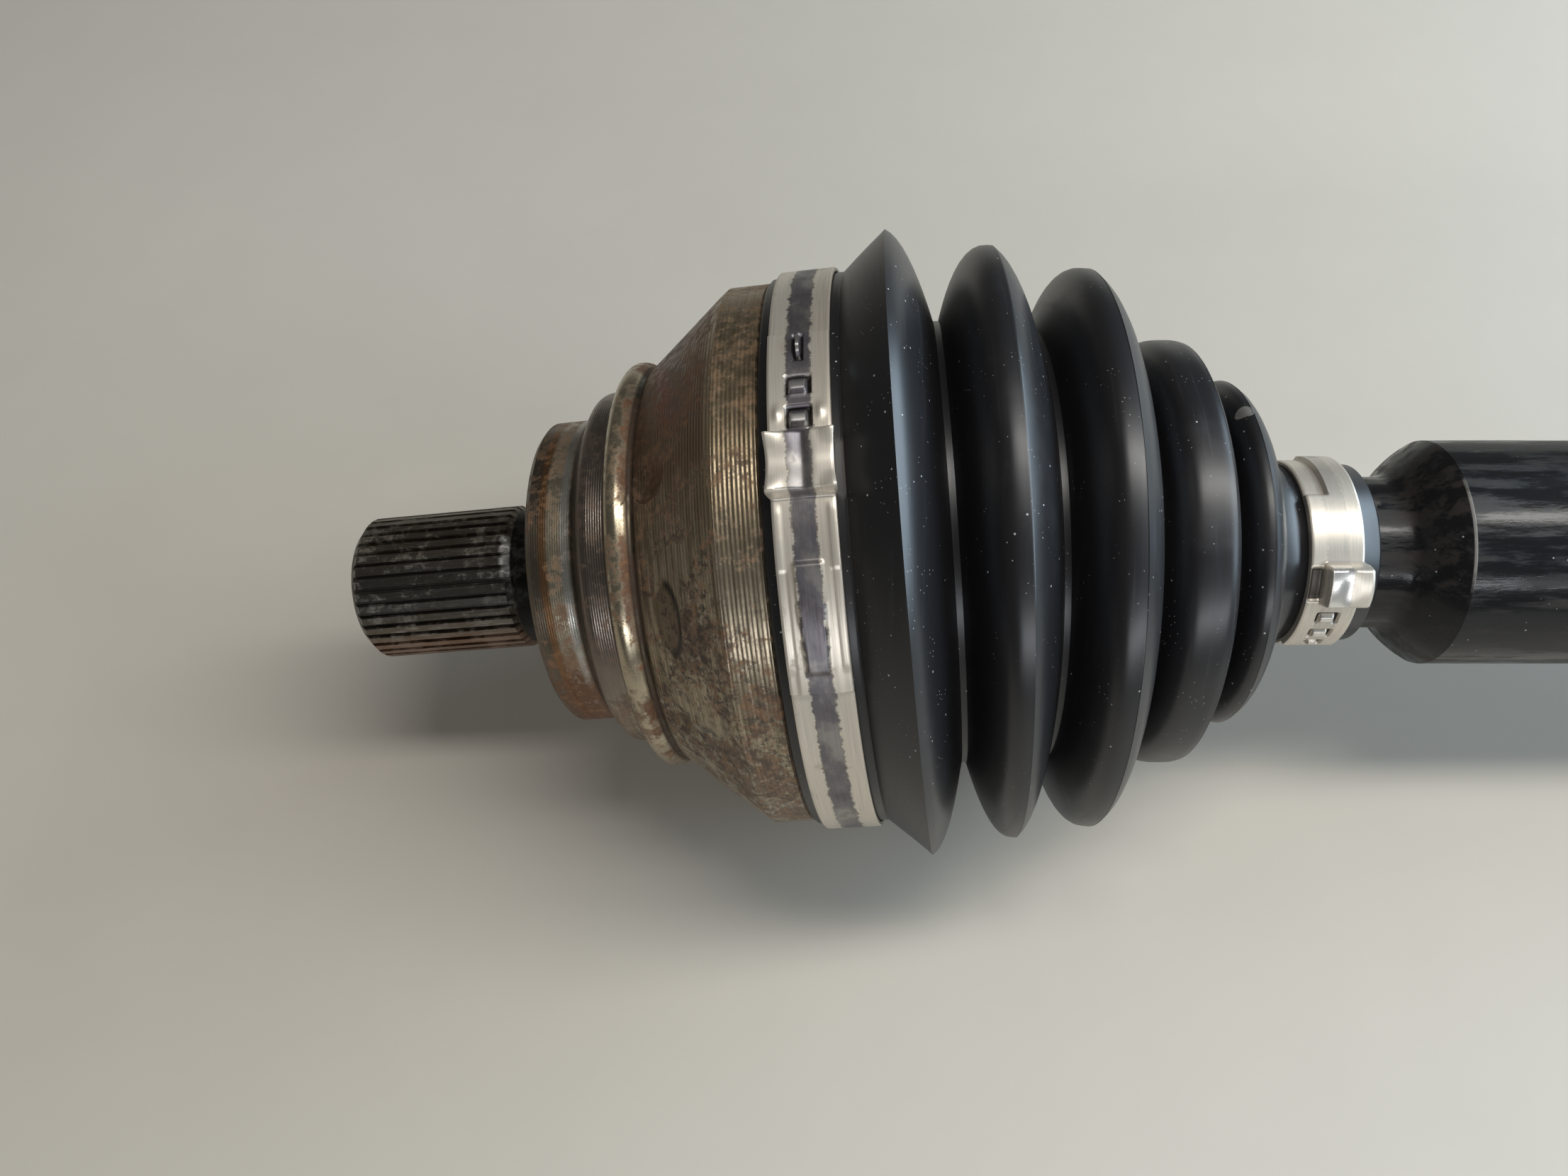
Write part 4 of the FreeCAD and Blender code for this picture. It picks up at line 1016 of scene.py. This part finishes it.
class SHAFT_OT_stage(ShaftPiece, bpy.types.Operator):
    """Makes the floor, the lamps, the world and the camera at the photograph's angle"""
    bl_idname = "shaft.stage"
    bl_label = "Stage"

    def execute(self, context):
        scene = context.scene
        sizes = scene.shaft_stage
        wheel_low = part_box("wheel_boot")[0].z - BOOT_CLEAR
        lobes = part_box("gearbox_joint_housing")
        wheel_x = WHEEL_CENTRE.x + BOOT_TOUCH
        slope = (lobes[0].z - LOBE_CLEAR - wheel_low) / (lobes[1].x - LOBE_TOUCH - wheel_x)
        corners = [(wheel_x + x * FLOOR_REACH, y * FLOOR_REACH, wheel_low + x * FLOOR_REACH * slope)
                   for x, y in ((-1, -1), (1, -1), (1, 1), (-1, 1))]
        mesh = bpy.data.meshes.new("floor")
        mesh.from_pydata(corners, [], [(0, 1, 2, 3)])
        linked(mesh, "floor", floor_finish())

        aim = WHEEL_CENTRE + Vector((AIM_ALONG, 0, 0))
        for name, offset, size, watts, colour in LAMPS:
            area_lamp(name, WHEEL_CENTRE + Vector(offset), aim, size, watts, colour)
        world = bpy.data.worlds.new("studio")
        world.use_nodes = True
        colour, strength = world.node_tree.nodes["Background"].inputs[:2]
        colour.default_value, strength.default_value = WORLD_COLOUR, WORLD_STRENGTH
        scene.world = world

        camera = bpy.data.cameras.new("camera")
        camera.sensor_width = 36.0
        camera.lens = sizes.focal * camera.sensor_width / sizes.photo[0]
        camera.clip_start = 0.01
        holder = bpy.data.objects.new("camera", camera)
        scene.collection.objects.link(holder)
        forward = Vector((0, math.cos(sizes.look_down), -math.sin(sizes.look_down)))
        up = Vector((0, math.sin(sizes.look_down), math.cos(sizes.look_down)))
        rise = (sizes.axis_row - sizes.photo[1] / 2) / sizes.focal * sizes.distance
        holder.location = WHEEL_CENTRE + Vector((sizes.aside, 0, 0)) - forward * sizes.distance + up * rise
        holder.rotation_euler = forward.to_track_quat("-Z", "Y").to_euler()
        scene.camera = holder
        scene.view_settings.view_transform = "Standard"
        return {"FINISHED"}


# -------- add-on

class SHAFT_PT_panel(bpy.types.Panel):
    """Lists what this file makes"""
    bl_idname = "SHAFT_PT_panel"
    bl_label = "Half shaft"
    bl_space_type = "VIEW_3D"
    bl_region_type = "UI"
    bl_category = "Half shaft"

    def draw(self, context):
        for operator in OPERATORS:
            self.layout.operator(operator.bl_idname)
        for group, owner in GROUPS.items():
            box = self.layout.box()
            box.label(text=owner.__doc__)
            for key in owner.__annotations__:
                box.prop(getattr(context.scene, group), key)


GROUPS = {
    "shaft_boot": BootSizes,
    "shaft_gear_boot": GearBootSizes,
    "shaft_shell": ShellSizes,
    "shaft_clamps": ClampSizes,
    "shaft_bead": BeadSizes,
    "shaft_colours": Colours,
    "shaft_stage": StageSizes,
}
OPERATORS = (SHAFT_OT_metal, SHAFT_OT_wheel_boot, SHAFT_OT_gear_boot, SHAFT_OT_clamps, SHAFT_OT_stage)


def register():
    for name, group in GROUPS.items():
        bpy.utils.register_class(group)
        setattr(bpy.types.Scene, name, PointerProperty(type=group))
    for item in OPERATORS + (SHAFT_PT_panel,):
        bpy.utils.register_class(item)


def unregister():
    for item in (SHAFT_PT_panel,) + OPERATORS[::-1]:
        bpy.utils.unregister_class(item)
    for name, group in GROUPS.items():
        delattr(bpy.types.Scene, name)
        bpy.utils.unregister_class(group)


def main():
    """Dresses the frame: stage, finishes, boots and clamps."""
    register()
    bpy.ops.shaft.stage()
    bpy.ops.shaft.metal()
    bpy.ops.shaft.wheel_boot()
    bpy.ops.shaft.gear_boot()
    bpy.ops.shaft.clamps()


if __name__ == "__main__":
    main()
